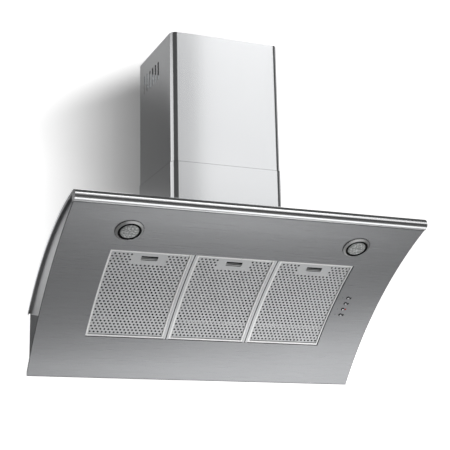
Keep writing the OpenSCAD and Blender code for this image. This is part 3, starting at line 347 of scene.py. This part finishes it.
def mill_finish(name, dark, light, rough, metallic=1.0):
    """Metal as it leaves the rolling mill or a plating bath, which mirrors softly: lines 2.4 mm wide
    and 140 mm long, and clouds 40 mm wide"""
    material, tree, shader = new_material(name, {"Metallic": metallic})
    place = add(tree, "ShaderNodeTexCoord").outputs["Object"]
    stretch = add(tree, "ShaderNodeMapping", {"Vector": place, "Scale": (420.0, 7.0, 7.0)})
    lines = add(tree, "ShaderNodeTexNoise", {"Vector": stretch.outputs[0], "Scale": 1.0, "Detail": 3.0})
    cloud = add(tree, "ShaderNodeTexNoise", {"Vector": place, "Scale": 26.0, "Detail": 4.0})
    mixed = add(tree, "ShaderNodeMix", {
        0: 0.5, 2: lines.outputs[0], 3: cloud.outputs[0]}, data_type="FLOAT")
    dull = add(tree, "ShaderNodeMapRange", {
        0: cloud.outputs[0], 1: 0.3, 2: 0.7, 3: rough - 0.05, 4: rough + 0.06})
    bump = add(tree, "ShaderNodeBump", {"Height": lines.outputs[0], "Strength": 0.08, "Distance": 0.0001})
    fill(tree, shader, {"Roughness": dull.outputs[0], "Normal": bump.outputs[0]})
    paint(tree, mixed.outputs[0], light, dark)
    return material


# The brushed face ends 0.12 mm above the bow, and the rear fold is brushed over 0.004 radians.
sheet_skin, rear_fold = 0.00012, 0.004
# A dull mill finish painted dark, as shade on hidden backs and cut edges.
shaded_inside_steel = mill_finish("stainless_2b_inside_painted_shade", "#4e4f50", "#5a5b5c", 0.5)
panel_steel = brushed_steel("stainless_304_underside", "#9b9c9e", "#a4a5a7", across_width, 0.28)
panel = dress("underside_panel", panel_steel, across_width)
rear_lean = max(lean_of(v.co) for v in panel.data.vertices) - rear_fold
two_finishes(panel, shaded_inside_steel, lambda spot, facing:
             from_axis(spot) > panel_radius + sheet_skin and lean_of(spot) < rear_lean)

# Filter rails: the folded frame and two pairs of rails that part the cassettes. Shade is painted on the
# rounded edges of the slit between the two rails of a pair, and on the gaps at the low end.


def before_rear_edge(tree, node):
    """Metres along the bow from a point of a material to a node's rear edge"""
    rear = max(lean_of(v.co) for v in frame["nodes"][node].data.vertices)
    place = add(tree, "ShaderNodeTexCoord").outputs["Object"]
    spoke = add(tree, "ShaderNodeVectorMath", {0: place, 1: (0, panel_middle_y, panel_middle_z)},
                operation="SUBTRACT")
    at = add(tree, "ShaderNodeSeparateXYZ", {0: spoke.outputs[0]}).outputs
    lean = add(tree, "ShaderNodeMath", {0: at["Y"], 1: at["Z"]}, operation="ARCTAN2")
    angle = add(tree, "ShaderNodeMath", {0: rear, 1: lean.outputs[0]}, operation="SUBTRACT")
    metres = add(tree, "ShaderNodeMath", {0: angle.outputs[0], 1: panel_radius}, operation="MULTIPLY")
    return metres.outputs[0]


rail_steel = brushed_steel("stainless_430_rail", "#cbccce", "#d8d9da", front_to_back, 0.3)
slit_x = -(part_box("filter_frame_left")[1].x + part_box("filter_frame_middle")[0].x) / 2
# Metres from the slit's middle to where its painted shade thins and ends, and a gap's soft edge
slit_dark, slit_soft, gap_soft = 0.0007, 0.0019, 0.0004
right_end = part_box("filter_frame_right")[1].x
tree = rail_steel.node_tree
place = add(tree, "ShaderNodeTexCoord").outputs["Object"]
either_side = add(tree, "ShaderNodeVectorMath", {0: place}, operation="ABSOLUTE")
side_x = add(tree, "ShaderNodeSeparateXYZ", {0: either_side.outputs[0]}).outputs["X"]
at = add(tree, "ShaderNodeSeparateXYZ", {0: place}).outputs
# Painted shade along the slit, the right gap and the rear gap.
in_slit = soft_patch(tree, (side_x, slit_x - slit_soft, slit_x - slit_dark),
                     (side_x, slit_x + slit_soft, slit_x + slit_dark))
in_right_gap = soft_patch(tree, (at["X"], right_end - gap_soft, right_end + gap_soft))
in_rear_gap = soft_patch(tree, (before_rear_edge(tree, "filter_frame_left"), gap_soft, -gap_soft))
for painted_shade in (in_slit, in_right_gap, in_rear_gap):
    paint(tree, painted_shade, "#3c3d3e")
dress("filter_rails", rail_steel, front_to_back)

# Filter cassettes: a bent channel frame round a perforated face, both mill-finish aluminium.
# Rolling leaves faint lines down the sheet and washing leaves it cloudy. Shade is painted on the rear edges
# and the row's right end. The walls of the holes and the insides of the channels are painted dark as shade,
# like the mesh behind them.
frame_aluminium = mill_finish("aluminium_1050_frame", "#ececec", "#f6f6f6", 0.32)
face_aluminium = mill_finish("aluminium_1050_perforated", "#c4c5c6", "#d1d2d3", 0.4)
# The mesh's aluminium is painted nearly black, as the shade behind the perforated faces.
painted_shade_aluminium = mill_finish("aluminium_mesh_painted_in_shade", "#232425", "#363738", 0.55)
places = ("left", "middle", "right")
# Metres from the bow to the channels' inside, painted dark as shade, from an edge to where its painted
# shade thins and ends, and from the rear edge to the end of its bend
face_depth, edge_dark, edge_soft, rear_bend = 0.0042, 0.0011, 0.0023, 0.0015
tree = frame_aluminium.node_tree
at = add(tree, "ShaderNodeSeparateXYZ", {0: add(tree, "ShaderNodeTexCoord").outputs["Object"]}).outputs
from_rear = before_rear_edge(tree, "filter_frame_left")
# Painted shade along the frames' rear edges and the row's right end.
on_rear_edge = soft_patch(tree, (from_rear, rear_bend + edge_soft, rear_bend + edge_dark))
on_right_edge = soft_patch(tree, (at["X"], right_end - edge_soft, right_end - edge_dark))
for painted_shade in (on_rear_edge, on_right_edge):
    paint(tree, painted_shade, "#303132")


def in_hole(spot, facing):
    """Whether a face of a perforated sheet is the wall of a hole, and so looks along the sheet"""
    out_of_sheet = facing.y * (spot.y - panel_middle_y) + facing.z * (spot.z - panel_middle_z)
    return abs(out_of_sheet) < 0.5 * panel_radius


for where in places:
    channel = dress("filter_frame_" + where, frame_aluminium)
    # Painted shade: the channels' insides and the hole walls take the dark mesh aluminium.
    two_finishes(channel, painted_shade_aluminium, lambda spot, facing:
                 from_axis(spot) > panel_radius + face_depth)
    two_finishes(dress("filter_face_" + where, face_aluminium), painted_shade_aluminium, in_hole)

# Grease mesh: three sheets of expanded aluminium behind each face. A slit sheet is pulled
# open into rows of long diamonds, 11.5 by 6.2 mm, with strands 0.9 mm wide.


def shape_tree(name, sizes):
    """A Geometry Nodes tree with a named input for each size"""
    tree = bpy.data.node_groups.new(name, "GeometryNodeTree")
    tree.interface.new_socket("Geometry", in_out="INPUT", socket_type="NodeSocketGeometry")
    for label, value in sizes.items():
        kind = "NodeSocketMaterial" if isinstance(value, bpy.types.Material) else "NodeSocketFloat"
        tree.interface.new_socket(label, in_out="INPUT", socket_type=kind).default_value = value
    tree.interface.new_socket("Geometry", in_out="OUTPUT", socket_type="NodeSocketGeometry")
    return tree, add(tree, "NodeGroupInput").outputs


def grown(base, tree, sizes):
    """Runs a tree on an object and keeps the result as a plain mesh, with one material"""
    modifier = base.modifiers.new("shape", "NODES")
    modifier.node_group = tree
    for entry in tree.interface.items_tree:
        if entry.in_out == "INPUT" and entry.name in sizes:
            modifier[entry.identifier] = sizes[entry.name]
    base.update_tag()
    seen = base.evaluated_get(bpy.context.evaluated_depsgraph_get())
    mesh = bpy.data.meshes.new_from_object(seen)
    base.modifiers.clear()
    base.data = mesh
    metal = [m for m in mesh.materials if m is not None][-1]
    mesh.materials.clear()
    mesh.materials.append(metal)
    for face in mesh.polygons:
        face.material_index = 0
    return base


# Sizes in metres. The sheet leaves out the latch's tub and bolt.
mesh_sizes = {"Sheet width": 0.2020, "Sheet length": 0.2735, "Cell width": 0.0115, "Cell length": 0.0062,
              "Strand": 0.0009, "Strand flatness": 0.6, "Depth": 0.0, "Shift": 0.0, "Middle X": 0.0,
              "Arc radius": panel_radius, "Arc start": math.radians(38.81),
              "Arc centre Y": panel_middle_y, "Arc centre Z": panel_middle_z,
              "Tub half": 0.034, "Tub rear": -0.0955, "Tub front": -0.1300, "Bolt half": 0.017,
              "Metal": painted_shade_aluminium}
tree, size = shape_tree("expanded_mesh", mesh_sizes)
at = add(tree, "ShaderNodeSeparateXYZ", {0: add(tree, "GeometryNodeInputPosition").outputs[0]}).outputs
value = {label: size[label] for label in mesh_sizes}
value.update({"x": at["X"], "y": at["Y"], "z": at["Z"]})
for result, operation, first, second in (
        ("cells across", "DIVIDE", "Sheet width", "Cell width"),
        ("columns", "FLOOR", "cells across", 0.0),
        ("column steps", "SUBTRACT", "columns", 1.0),
        ("grid width", "MULTIPLY", "column steps", "Cell width"),
        ("cells along", "DIVIDE", "Sheet length", "Cell length"),
        ("rows", "FLOOR", "cells along", 0.0),
        ("row steps", "SUBTRACT", "rows", 1.0),
        ("grid length", "MULTIPLY", "row steps", "Cell length"),
        ("beside", "ABSOLUTE", "x", 0.0),
        ("in front of tub's rear", "LESS_THAN", "y", "Tub rear"),
        ("behind tub's front", "GREATER_THAN", "y", "Tub front"),
        ("in tub's width", "LESS_THAN", "beside", "Tub half"),
        ("in bolt's width", "LESS_THAN", "beside", "Bolt half"),
        ("at tub", "MULTIPLY", "in tub's width", "behind tub's front"),
        ("at tub or bolt", "MAXIMUM", "at tub", "in bolt's width"),
        ("at latch", "MULTIPLY", "at tub or bolt", "in front of tub's rear"),
        ("clear of latch", "LESS_THAN", "at latch", 0.5),
        ("half cell", "MULTIPLY", "Cell length", 0.5),
        ("strand radius", "MULTIPLY", "Strand", 0.5),
        ("along sheet", "ADD", "y", "Shift"),
        ("turn", "DIVIDE", "along sheet", "Arc radius"),
        ("angle", "ADD", "turn", "Arc start"),
        ("height", "MULTIPLY", "z", "Strand flatness"),
        ("height in stack", "ADD", "height", "Depth"),
        ("reach", "ADD", "height in stack", "Arc radius"),
        ("sine", "SINE", "angle", 0.0),
        ("rearwards", "MULTIPLY", "sine", "reach"),
        ("cosine", "COSINE", "angle", 0.0),
        ("upwards", "MULTIPLY", "cosine", "reach"),
        ("bent x", "ADD", "x", "Middle X"),
        ("bent y", "ADD", "rearwards", "Arc centre Y"),
        ("bent z", "ADD", "upwards", "Arc centre Z")):
    terms = {0: value.get(first, first), 1: value.get(second, second)}
    value[result] = add(tree, "ShaderNodeMath", terms, operation=operation).outputs[0]
grid = add(tree, "GeometryNodeMeshGrid", {
    "Size X": value["grid width"], "Size Y": value["grid length"],
    "Vertices X": value["columns"], "Vertices Y": value["rows"]})
kite = add(tree, "GeometryNodeCurvePrimitiveQuadrilateral", {
    "Width": size["Cell width"], "Bottom Height": value["half cell"], "Top Height": value["half cell"]},
    mode="KITE")
strand = add(tree, "GeometryNodeCurvePrimitiveCircle", {"Resolution": 4, "Radius": value["strand radius"]})
link = add(tree, "GeometryNodeCurveToMesh", {"Curve": kite.outputs[0], "Profile Curve": strand.outputs[0]})
links = add(tree, "GeometryNodeInstanceOnPoints", {
    "Points": grid.outputs[0], "Selection": value["clear of latch"], "Instance": link.outputs[0]})
sheet = add(tree, "GeometryNodeRealizeInstances", {"Geometry": links.outputs[0]})
bent = add(tree, "ShaderNodeCombineXYZ", {
    "X": value["bent x"], "Y": value["bent y"], "Z": value["bent z"]})
curved = add(tree, "GeometryNodeSetPosition", {"Geometry": sheet.outputs[0], "Position": bent.outputs[0]})
coated = add(tree, "GeometryNodeSetMaterial", {"Geometry": curved.outputs[0], "Material": size["Metal"]})
add(tree, "NodeGroupOutput", {0: coated.outputs[0]})
depths_and_shifts = ((0.0048, 0.0), (0.0066, 0.0031), (0.0084, 0.0))
for where in places:
    low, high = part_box("filter_mesh_" + where)
    layers = []
    for depth, shift in depths_and_shifts:
        base = place_mesh("grease_mesh_" + where, [], [], painted_shade_aluminium)
        place_in_stack = {"Depth": depth, "Shift": shift, "Middle X": (low.x + high.x) / 2}
        layers.append(grown(base, tree, place_in_stack))
    stack = layers[0]
    work = bmesh.new()
    for layer in layers:
        work.from_mesh(layer.data)
    work.to_mesh(stack.data)
    work.free()
    for layer in layers[1:]:
        bpy.data.objects.remove(layer)
    stack.name = "grease_mesh_" + where
    stand_in(stack, "filter_mesh_" + where)

# Latches: a tub moulded in black nylon behind the finger slot, and a sprung bolt in it. The bolt is brushed
# steel, painted black as shade over its upper part and along the lip's edge, and a finger pulls the lip.


def moulded(name, dark, light, rough, grain_mm=0.35, specular=0.5):
    """Injection-moulded plastic: a spark-eroded grain of the width given, which breaks its gloss,
    and a faint flow in its colour, about 70 mm wide"""
    material, tree, shader = new_material(name, {"Specular IOR Level": specular})
    place = add(tree, "ShaderNodeTexCoord").outputs["Object"]
    grit = add(tree, "ShaderNodeTexNoise", {"Vector": place, "Scale": 1000 / grain_mm / 2, "Detail": 2.0})
    flow = add(tree, "ShaderNodeTexNoise", {"Vector": place, "Scale": 14.0, "Detail": 2.0})
    dull = add(tree, "ShaderNodeMapRange", {0: grit.outputs[0], 3: rough - 0.06, 4: rough + 0.08})
    bump = add(tree, "ShaderNodeBump", {"Height": grit.outputs[0], "Strength": 0.25, "Distance": 0.0001})
    fill(tree, shader, {"Roughness": dull.outputs[0], "Normal": bump.outputs[0]})
    paint(tree, flow.outputs[0], light, dark)
    return material


latch_nylon = moulded("nylon_66_latch_tub", "#151617", "#1f2021", 0.5)
latch_steel = brushed_steel("stainless_430_latch_lip", "#c4c5c6", "#d2d3d4", across_width, 0.32)
tree = latch_steel.node_tree
from_rear = before_rear_edge(tree, "latch_left")
# Metres from the bolt's rear edge to where the lip fades in and to where it fades out
lip_start, lip_end = (0.0011, 0.0017), (0.0054, 0.0062)
above_lip = soft_patch(tree, (from_rear, lip_end[0], lip_end[1]))
lip_edge = soft_patch(tree, (from_rear, lip_start[1], lip_start[0]))
# Painted shade: black over the bolt above the lip and along the lip's rear edge.
for painted_bolt_shade in (above_lip, lip_edge):
    paint(tree, painted_bolt_shade, "#161718")
for where in places:
    dress("latch_housing_" + where, latch_nylon)
    dress("latch_" + where, latch_steel, across_width)

# Lamps: a turned steel bezel, a black rubber gasket, a pressed frosted glass that stands a little proud of
# them, and a bulb in a bright can. The bezel's outer edge is painted dark as shade.


def lathe(work, middle_x, lean, profile, steps=56):
    """Adds a profile of (radius, depth, material) points in mm, turned round a line that is square to
    the underside panel. The line's place is its X and its angle round the panel's axis."""
    inward = Vector((0, math.sin(lean), math.cos(lean)))
    down_panel = Vector((0, math.cos(lean), -math.sin(lean)))
    centre = Vector((middle_x, panel_middle_y, panel_middle_z)) + inward * panel_radius
    rings = []
    for radius, depth, _ in profile:
        ring = []
        for i in range(steps if radius > 0 else 1):
            turn = math.tau * i / steps
            out = Vector((math.cos(turn), 0, 0)) + down_panel * math.sin(turn)
            ring.append(work.verts.new(centre + (out * radius + inward * depth) / 1000))
        rings.append(ring)
    closed = profile[0][0] > 0
    for i in range(len(profile) - (0 if closed else 1)):
        ring, following = rings[i], rings[(i + 1) % len(profile)]
        for j in range(steps):
            corners = [ring[j % len(ring)], ring[(j + 1) % len(ring)],
                       following[(j + 1) % len(following)], following[j % len(following)]]
            face = work.faces.new(dict.fromkeys(corners))
            face.material_index = profile[i][2]
            face.smooth = True


def middle_of(node):
    """A node's middle X, and its middle angle round the panel's axis"""
    spots = [v.co for v in frame["nodes"][node].data.vertices]
    leans = [lean_of(v) for v in spots]
    across_x = [v.x for v in spots]
    return (min(across_x) + max(across_x)) / 2, (min(leans) + max(leans)) / 2


def turned(node, places_on_panel, profiles, materials):
    """Stands turned pieces in for a node"""
    crease = math.radians(30)
    work = bmesh.new()
    for (middle_x, lean), profile in zip(places_on_panel, profiles):
        lathe(work, middle_x, lean, profile)
    bmesh.ops.recalc_face_normals(work, faces=work.faces)
    for edge in work.edges:
        edge.smooth = edge.calc_face_angle(math.pi) < crease
    mesh = bpy.data.meshes.new(node + "_piece")
    work.to_mesh(mesh)
    work.free()
    for material in materials:
        mesh.materials.append(material)
    stand_in(new_object(node + "_piece", mesh), node)


bezel_steel = mill_finish("stainless_turned_bezel", "#d2d3d3", "#dedede", 0.38)
gasket_rubber = moulded("silicone_rubber_gasket", "#060606", "#0c0c0c", 0.6, specular=0.12)
can_steel = mill_finish("zinc_coated_lamp_can", "#b6b8ba", "#cfd1d3", 0.3)
# Dimples 4.3 mm wide are pressed in the glass. They break up what it mirrors, and its frost is milky.
frosted_glass, tree, shader = new_material("frosted_borosilicate_glass", {
    "IOR": 1.47, "Transmission Weight": 0.25})
place = add(tree, "ShaderNodeTexCoord").outputs["Object"]
dimple = add(tree, "ShaderNodeTexVoronoi", {"Vector": place, "Scale": 230.0})
frost = add(tree, "ShaderNodeTexNoise", {"Vector": place, "Scale": 240.0, "Detail": 3.0})
dull = add(tree, "ShaderNodeMapRange", {0: frost.outputs[0], 1: 0.35, 2: 0.65, 3: 0.16, 4: 0.36})
bump = add(tree, "ShaderNodeBump", {
    "Height": dimple.outputs["Distance"], "Strength": 0.5, "Distance": 0.0008})
fill(tree, shader, {"Roughness": dull.outputs[0], "Normal": bump.outputs[0]})
paint(tree, soft_patch(tree, (frost.outputs[0], 0.38, 0.62)), "#f2f5f4", "#d3d6d5")
# The capsule is clear and a little uneven from its making, about 4.5 mm from wave to wave.
clear_glass, tree, shader = new_material("quartz_glass_capsule", {
    "Base Color": linear("#f4f4ee"), "IOR": 1.46, "Transmission Weight": 0.7})
place = add(tree, "ShaderNodeTexCoord").outputs["Object"]
ripple = add(tree, "ShaderNodeTexNoise", {"Vector": place, "Scale": 220.0})
dull = add(tree, "ShaderNodeMapRange", {0: ripple.outputs[0], 3: 0.05, 4: 0.2})
fill(tree, shader, {"Roughness": dull.outputs[0]})
glass_profile = [(0, -7.3, 0), (8, -7.12, 0), (15, -6.62, 0), (19.5, -6.05, 0), (21.2, -5.6, 0),
                 (22.1, -5.0, 0), (22.5, -4.2, 0), (22.5, -0.9, 0), (0, -0.9, 0)]
gasket_profile = [(22.7, -0.85, 0), (22.7, -4.9, 0), (23.9, -5.9, 0), (27.5, -5.9, 0), (28.2, -5.4, 0),
                  (28.2, -4.5, 0), (26.2, -4.4, 0), (26.2, 1.15, 0), (22.25, 1.15, 0), (22.25, -0.85, 0)]
# The bezel's outer edge, painted dark as shade, is 1.4 mm wide.
dark_edge = 0.0014
for where in ("left", "right"):
    bezel = dress("lamp_bezel_" + where, bezel_steel)
    lamp_x, lamp_lean = middle_of("lamp_bezel_" + where)
    lamp_middle = Vector((lamp_x, panel_middle_y + panel_radius * math.sin(lamp_lean),
                          panel_middle_z + panel_radius * math.cos(lamp_lean)))
    outside = [v.co for v in bezel.data.vertices if from_axis(v.co) < panel_radius]
    widest = max((spot - lamp_middle).length for spot in outside)
    # Painted shade on the bezel's outer edge.
    two_finishes(bezel, shaded_inside_steel, lambda spot, facing:
                 (spot - lamp_middle).length > widest - dark_edge and from_axis(spot) < panel_radius)
    gasket, glass = "lamp_gasket_" + where, "lamp_glass_" + where
    turned(gasket, [middle_of(gasket)], [gasket_profile], [gasket_rubber])
    turned(glass, [middle_of(glass)], [glass_profile], [frosted_glass])
    dress("lamp_housing_" + where, can_steel)
    dress("lamp_bulb_" + where, clear_glass)

# Push buttons: plated domes on tall black skirts, one above the other beside the filters.
# A faint grey mark is printed beside each: 0, 1 and 2 for the fan, and a star for the lamps.
button_plating = mill_finish("chrome_plated_abs_cap", "#dcddde", "#eaebec", 0.07)
skirt_plastic = moulded("abs_black_skirt", "#040404", "#080808", 0.6, specular=0.12)
button_profile = [(0, -2.95, 0), (1.2, -2.85, 0), (2.1, -2.55, 0), (2.8, -2.1, 0), (3.0, -1.95, 1),
                  (3.7, -1.55, 1), (4.3, -0.9, 1), (4.3, 1.3, 1), (5.7, 1.3, 1), (5.7, 2.5, 1),
                  (1.6, 2.5, 1), (1.6, 9.0, 1), (0, 9.0, 1)]
button_names = ("button_fan_off", "button_fan_low", "button_fan_high", "button_light")
for name in button_names:
    turned(name, [middle_of(name)], [button_profile], [button_plating, skirt_plastic])
mark_ink = moulded("screen_printed_grey_ink", "#4c4d4e", "#565758", 0.6)
# In metres: the marks' X, the type sizes, the ink's thickness, and how far before the panel the
# search for its surface starts
marks_x, digit_size, star_size, ink_lift, search_start = 0.3373, 0.00621, 0.01196, 0.00004, 0.001
for name, glyph in zip(button_names, ("0", "1", "2", "*")):
    letter = bpy.data.curves.new(name + "_mark", "FONT")
    letter.body = glyph
    letter.align_x, letter.align_y = "CENTER", "CENTER"
    letter.size = star_size if glyph == "*" else digit_size
    letter.resolution_u = 4
    written = new_object(name + "_mark", letter)
    bpy.context.view_layer.update()
    mesh = bpy.data.meshes.new_from_object(written.evaluated_get(bpy.context.evaluated_depsgraph_get()))
    bpy.data.objects.remove(written)
    mesh.materials.clear()
    mesh.materials.append(mark_ink)
    low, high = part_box(name)
    button_lean = lean_of((low + high) / 2)
    glyph_middle = sum(v.co.y for v in mesh.vertices) / len(mesh.vertices)
    for v in mesh.vertices:
        lean = button_lean - (v.co.y - glyph_middle) / panel_radius
        reach = panel_radius - search_start
        before_panel = Vector((marks_x + v.co.x, panel_middle_y + reach * math.sin(lean),
                               panel_middle_z + reach * math.cos(lean)))
        _, nearest, facing, _ = panel.closest_point_on_mesh(before_panel)
        v.co = nearest + facing * ink_lift
    mark = new_object(name + "_mark", mesh)
    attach(mark, body_of_node["underside_panel"])

# Indicator lights: acrylic pins that lead the board's light through the panel, beside the buttons.
# The one beside the third button is red, and the others are smoked black.


def lens_plastic(name, tint):
    """Acrylic with a deep tint that swallows most of the light, and a polish that varies over 1.7 mm"""
    material, tree, shader = new_material(name, {
        "Base Color": linear(tint), "Specular IOR Level": 0.12})
    place = add(tree, "ShaderNodeTexCoord").outputs["Object"]
    grit = add(tree, "ShaderNodeTexNoise", {"Vector": place, "Scale": 600.0})
    dull = add(tree, "ShaderNodeMapRange", {0: grit.outputs[0], 3: 0.16, 4: 0.26})
    fill(tree, shader, {"Roughness": dull.outputs[0]})
    return material


light_x = middle_of("indicator_lights")[0]
light_places = [(light_x, middle_of(name)[1]) for name in button_names]
pin_shape = [(0, -1.0), (1.2, -0.86), (2.0, -0.5), (2.4, -0.12),
             (2.4, -0.02), (2.0, -0.02), (2.0, 14.2), (0, 14.2)]
smoked, red = 0, 1
light_profiles = []
for name in button_names:
    tint = red if name == "button_fan_high" else smoked
    light_profiles.append([(radius, depth, tint) for radius, depth in pin_shape])
turned("indicator_lights", light_places, light_profiles,
       [lens_plastic("acrylic_smoked_lens", "#040303"), lens_plastic("acrylic_red_lens", "#d41c10")])

# Control unit: a moulded tub on the back of the panel, with a glass-fibre board and its switches
# behind the buttons, and a small transformer for the lamps.
dress("control_housing", moulded("abs_control_tub", "#242627", "#2e3031", 0.5))
dress("tact_switches", moulded("pbt_switch_body", "#101112", "#18191a", 0.45))
# Green solder lacquer over copper tracks, which show as paler lines 1.6 mm apart.
board_laminate, tree, shader = new_material("fr4_circuit_board", {"Roughness": 0.35})
place = add(tree, "ShaderNodeTexCoord").outputs["Object"]
tracks = add(tree, "ShaderNodeTexBrick", {
    "Vector": place, "Color1": linear("#1f5a35"), "Color2": linear("#27683d"),
    "Mortar": linear("#3c8a55"), "Scale": 160.0, "Mortar Size": 0.06})
fill(tree, shader, {"Base Color": tracks.outputs["Color"]})
dress("control_board", board_laminate)
dress("lamp_transformer", moulded("potted_transformer_case", "#d8d5cb", "#e6e3da", 0.5))

# Blower: a galvanised box that holds a moulded scroll in two halves, with the fan wheel,
# its motor on a three-armed spider and the screws that hold it.
# Zinc sets in spangles about 9 mm wide, each a little brighter or duller than the next.
galvanised, tree, shader = new_material("hot_dip_galvanised_steel", {"Metallic": 0.85})
place = add(tree, "ShaderNodeTexCoord").outputs["Object"]
spangle = add(tree, "ShaderNodeTexVoronoi", {"Vector": place, "Scale": 110.0})
dull = add(tree, "ShaderNodeMapRange", {0: spangle.outputs["Color"], 3: 0.3, 4: 0.5})
fill(tree, shader, {"Roughness": dull.outputs[0]})
paint(tree, spangle.outputs["Color"], "#b9bdc0", "#9da1a4")
dress("blower_box", galvanised)
scroll_plastic = moulded("polypropylene_scroll", "#3c3f42", "#4a4d50", 0.5, 0.6)
dress("scroll_left", scroll_plastic)
dress("scroll_right", scroll_plastic)
dress("impeller", moulded("polyamide_fan_wheel", "#5c6063", "#6c7073", 0.42, 0.5))
dress("motor_shaft", mill_finish("ground_steel_shaft", "#d5d7d9", "#e4e6e8", 0.16))
dress("motor", mill_finish("lacquered_motor_can", "#6b6f72", "#7d8184", 0.4, 0.6))
dress("motor_spider", galvanised)
zinc_plating = mill_finish("bright_zinc_plating", "#c4c6ca", "#d8dadd", 0.24)
dress("motor_screws", zinc_plating)

# Duct collar: a moulded ring that is screwed on the blower box and takes the duct.
# Two non-return flaps are hinged in it, and the air lifts them.
dress("outlet_collar", moulded("polypropylene_collar", "#2a2c2e", "#36383a", 0.5))
dress("collar_screws", zinc_plating)
flap_plastic = moulded("polypropylene_flap", "#44484b", "#505457", 0.48)
dress("flap_left", flap_plastic)
dress("flap_right", flap_plastic)

# Electrical parts on the blower box: the motor's capacitor, and a pale moulded junction box
# with the black cable gland that a cord would pass.
dress("capacitor", moulded("capacitor_can", "#d2d2ce", "#dededb", 0.35))
dress("junction_box", moulded("polycarbonate_junction_box", "#dad8d0", "#e6e4dd", 0.45))
dress("cable_gland", moulded("nylon_66_gland", "#17181a", "#222325", 0.5))

# Chimney: a lower U of stainless sheet on the canopy, an upper one that slides inside it, and the bracket
# on the wall that the upper one hangs on. Brushed upright, with a fine line of painted shade along the
# lower one's top hem. Their insides are painted nearly black as shade.
chimney_steel = brushed_steel("stainless_304_chimney", "#c9cacc", "#d3d4d5", upwards, 0.16)
lower_steel = brushed_steel("stainless_304_lower_chimney", "#c9cacc", "#d3d4d5", upwards, 0.16)
# Painted shade: the chimneys' insides are nearly black, so the slots look dark.
chimney_inside_shade = mill_finish("stainless_2b_duct_space_painted_shade", "#1d1e1f", "#28292a", 0.6)
lower_top, hem_width, hem_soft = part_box("chimney_lower")[1].z, 0.0010, 0.0010
tree = lower_steel.node_tree
at = add(tree, "ShaderNodeSeparateXYZ", {0: add(tree, "ShaderNodeTexCoord").outputs["Object"]}).outputs
hem_start = lower_top - hem_width
# Painted shade: a fine darker line along the lower chimney's top hem.
paint(tree, soft_patch(tree, (at["Z"], hem_start - hem_soft, hem_start)), "#aaabac")
chimney_middle_y, inward_slope = -0.125, 0.02


def looks_inwards(spot, facing):
    """Whether a face of a chimney looks at the chimney's middle"""
    return spot.x * facing.x + (spot.y - chimney_middle_y) * facing.y < -inward_slope


two_finishes(dress("chimney_lower", lower_steel, upwards), chimney_inside_shade, looks_inwards)
two_finishes(dress("chimney_upper", chimney_steel, upwards), chimney_inside_shade, looks_inwards)
dress("chimney_bracket", galvanised)

bpy.context.view_layer.update()
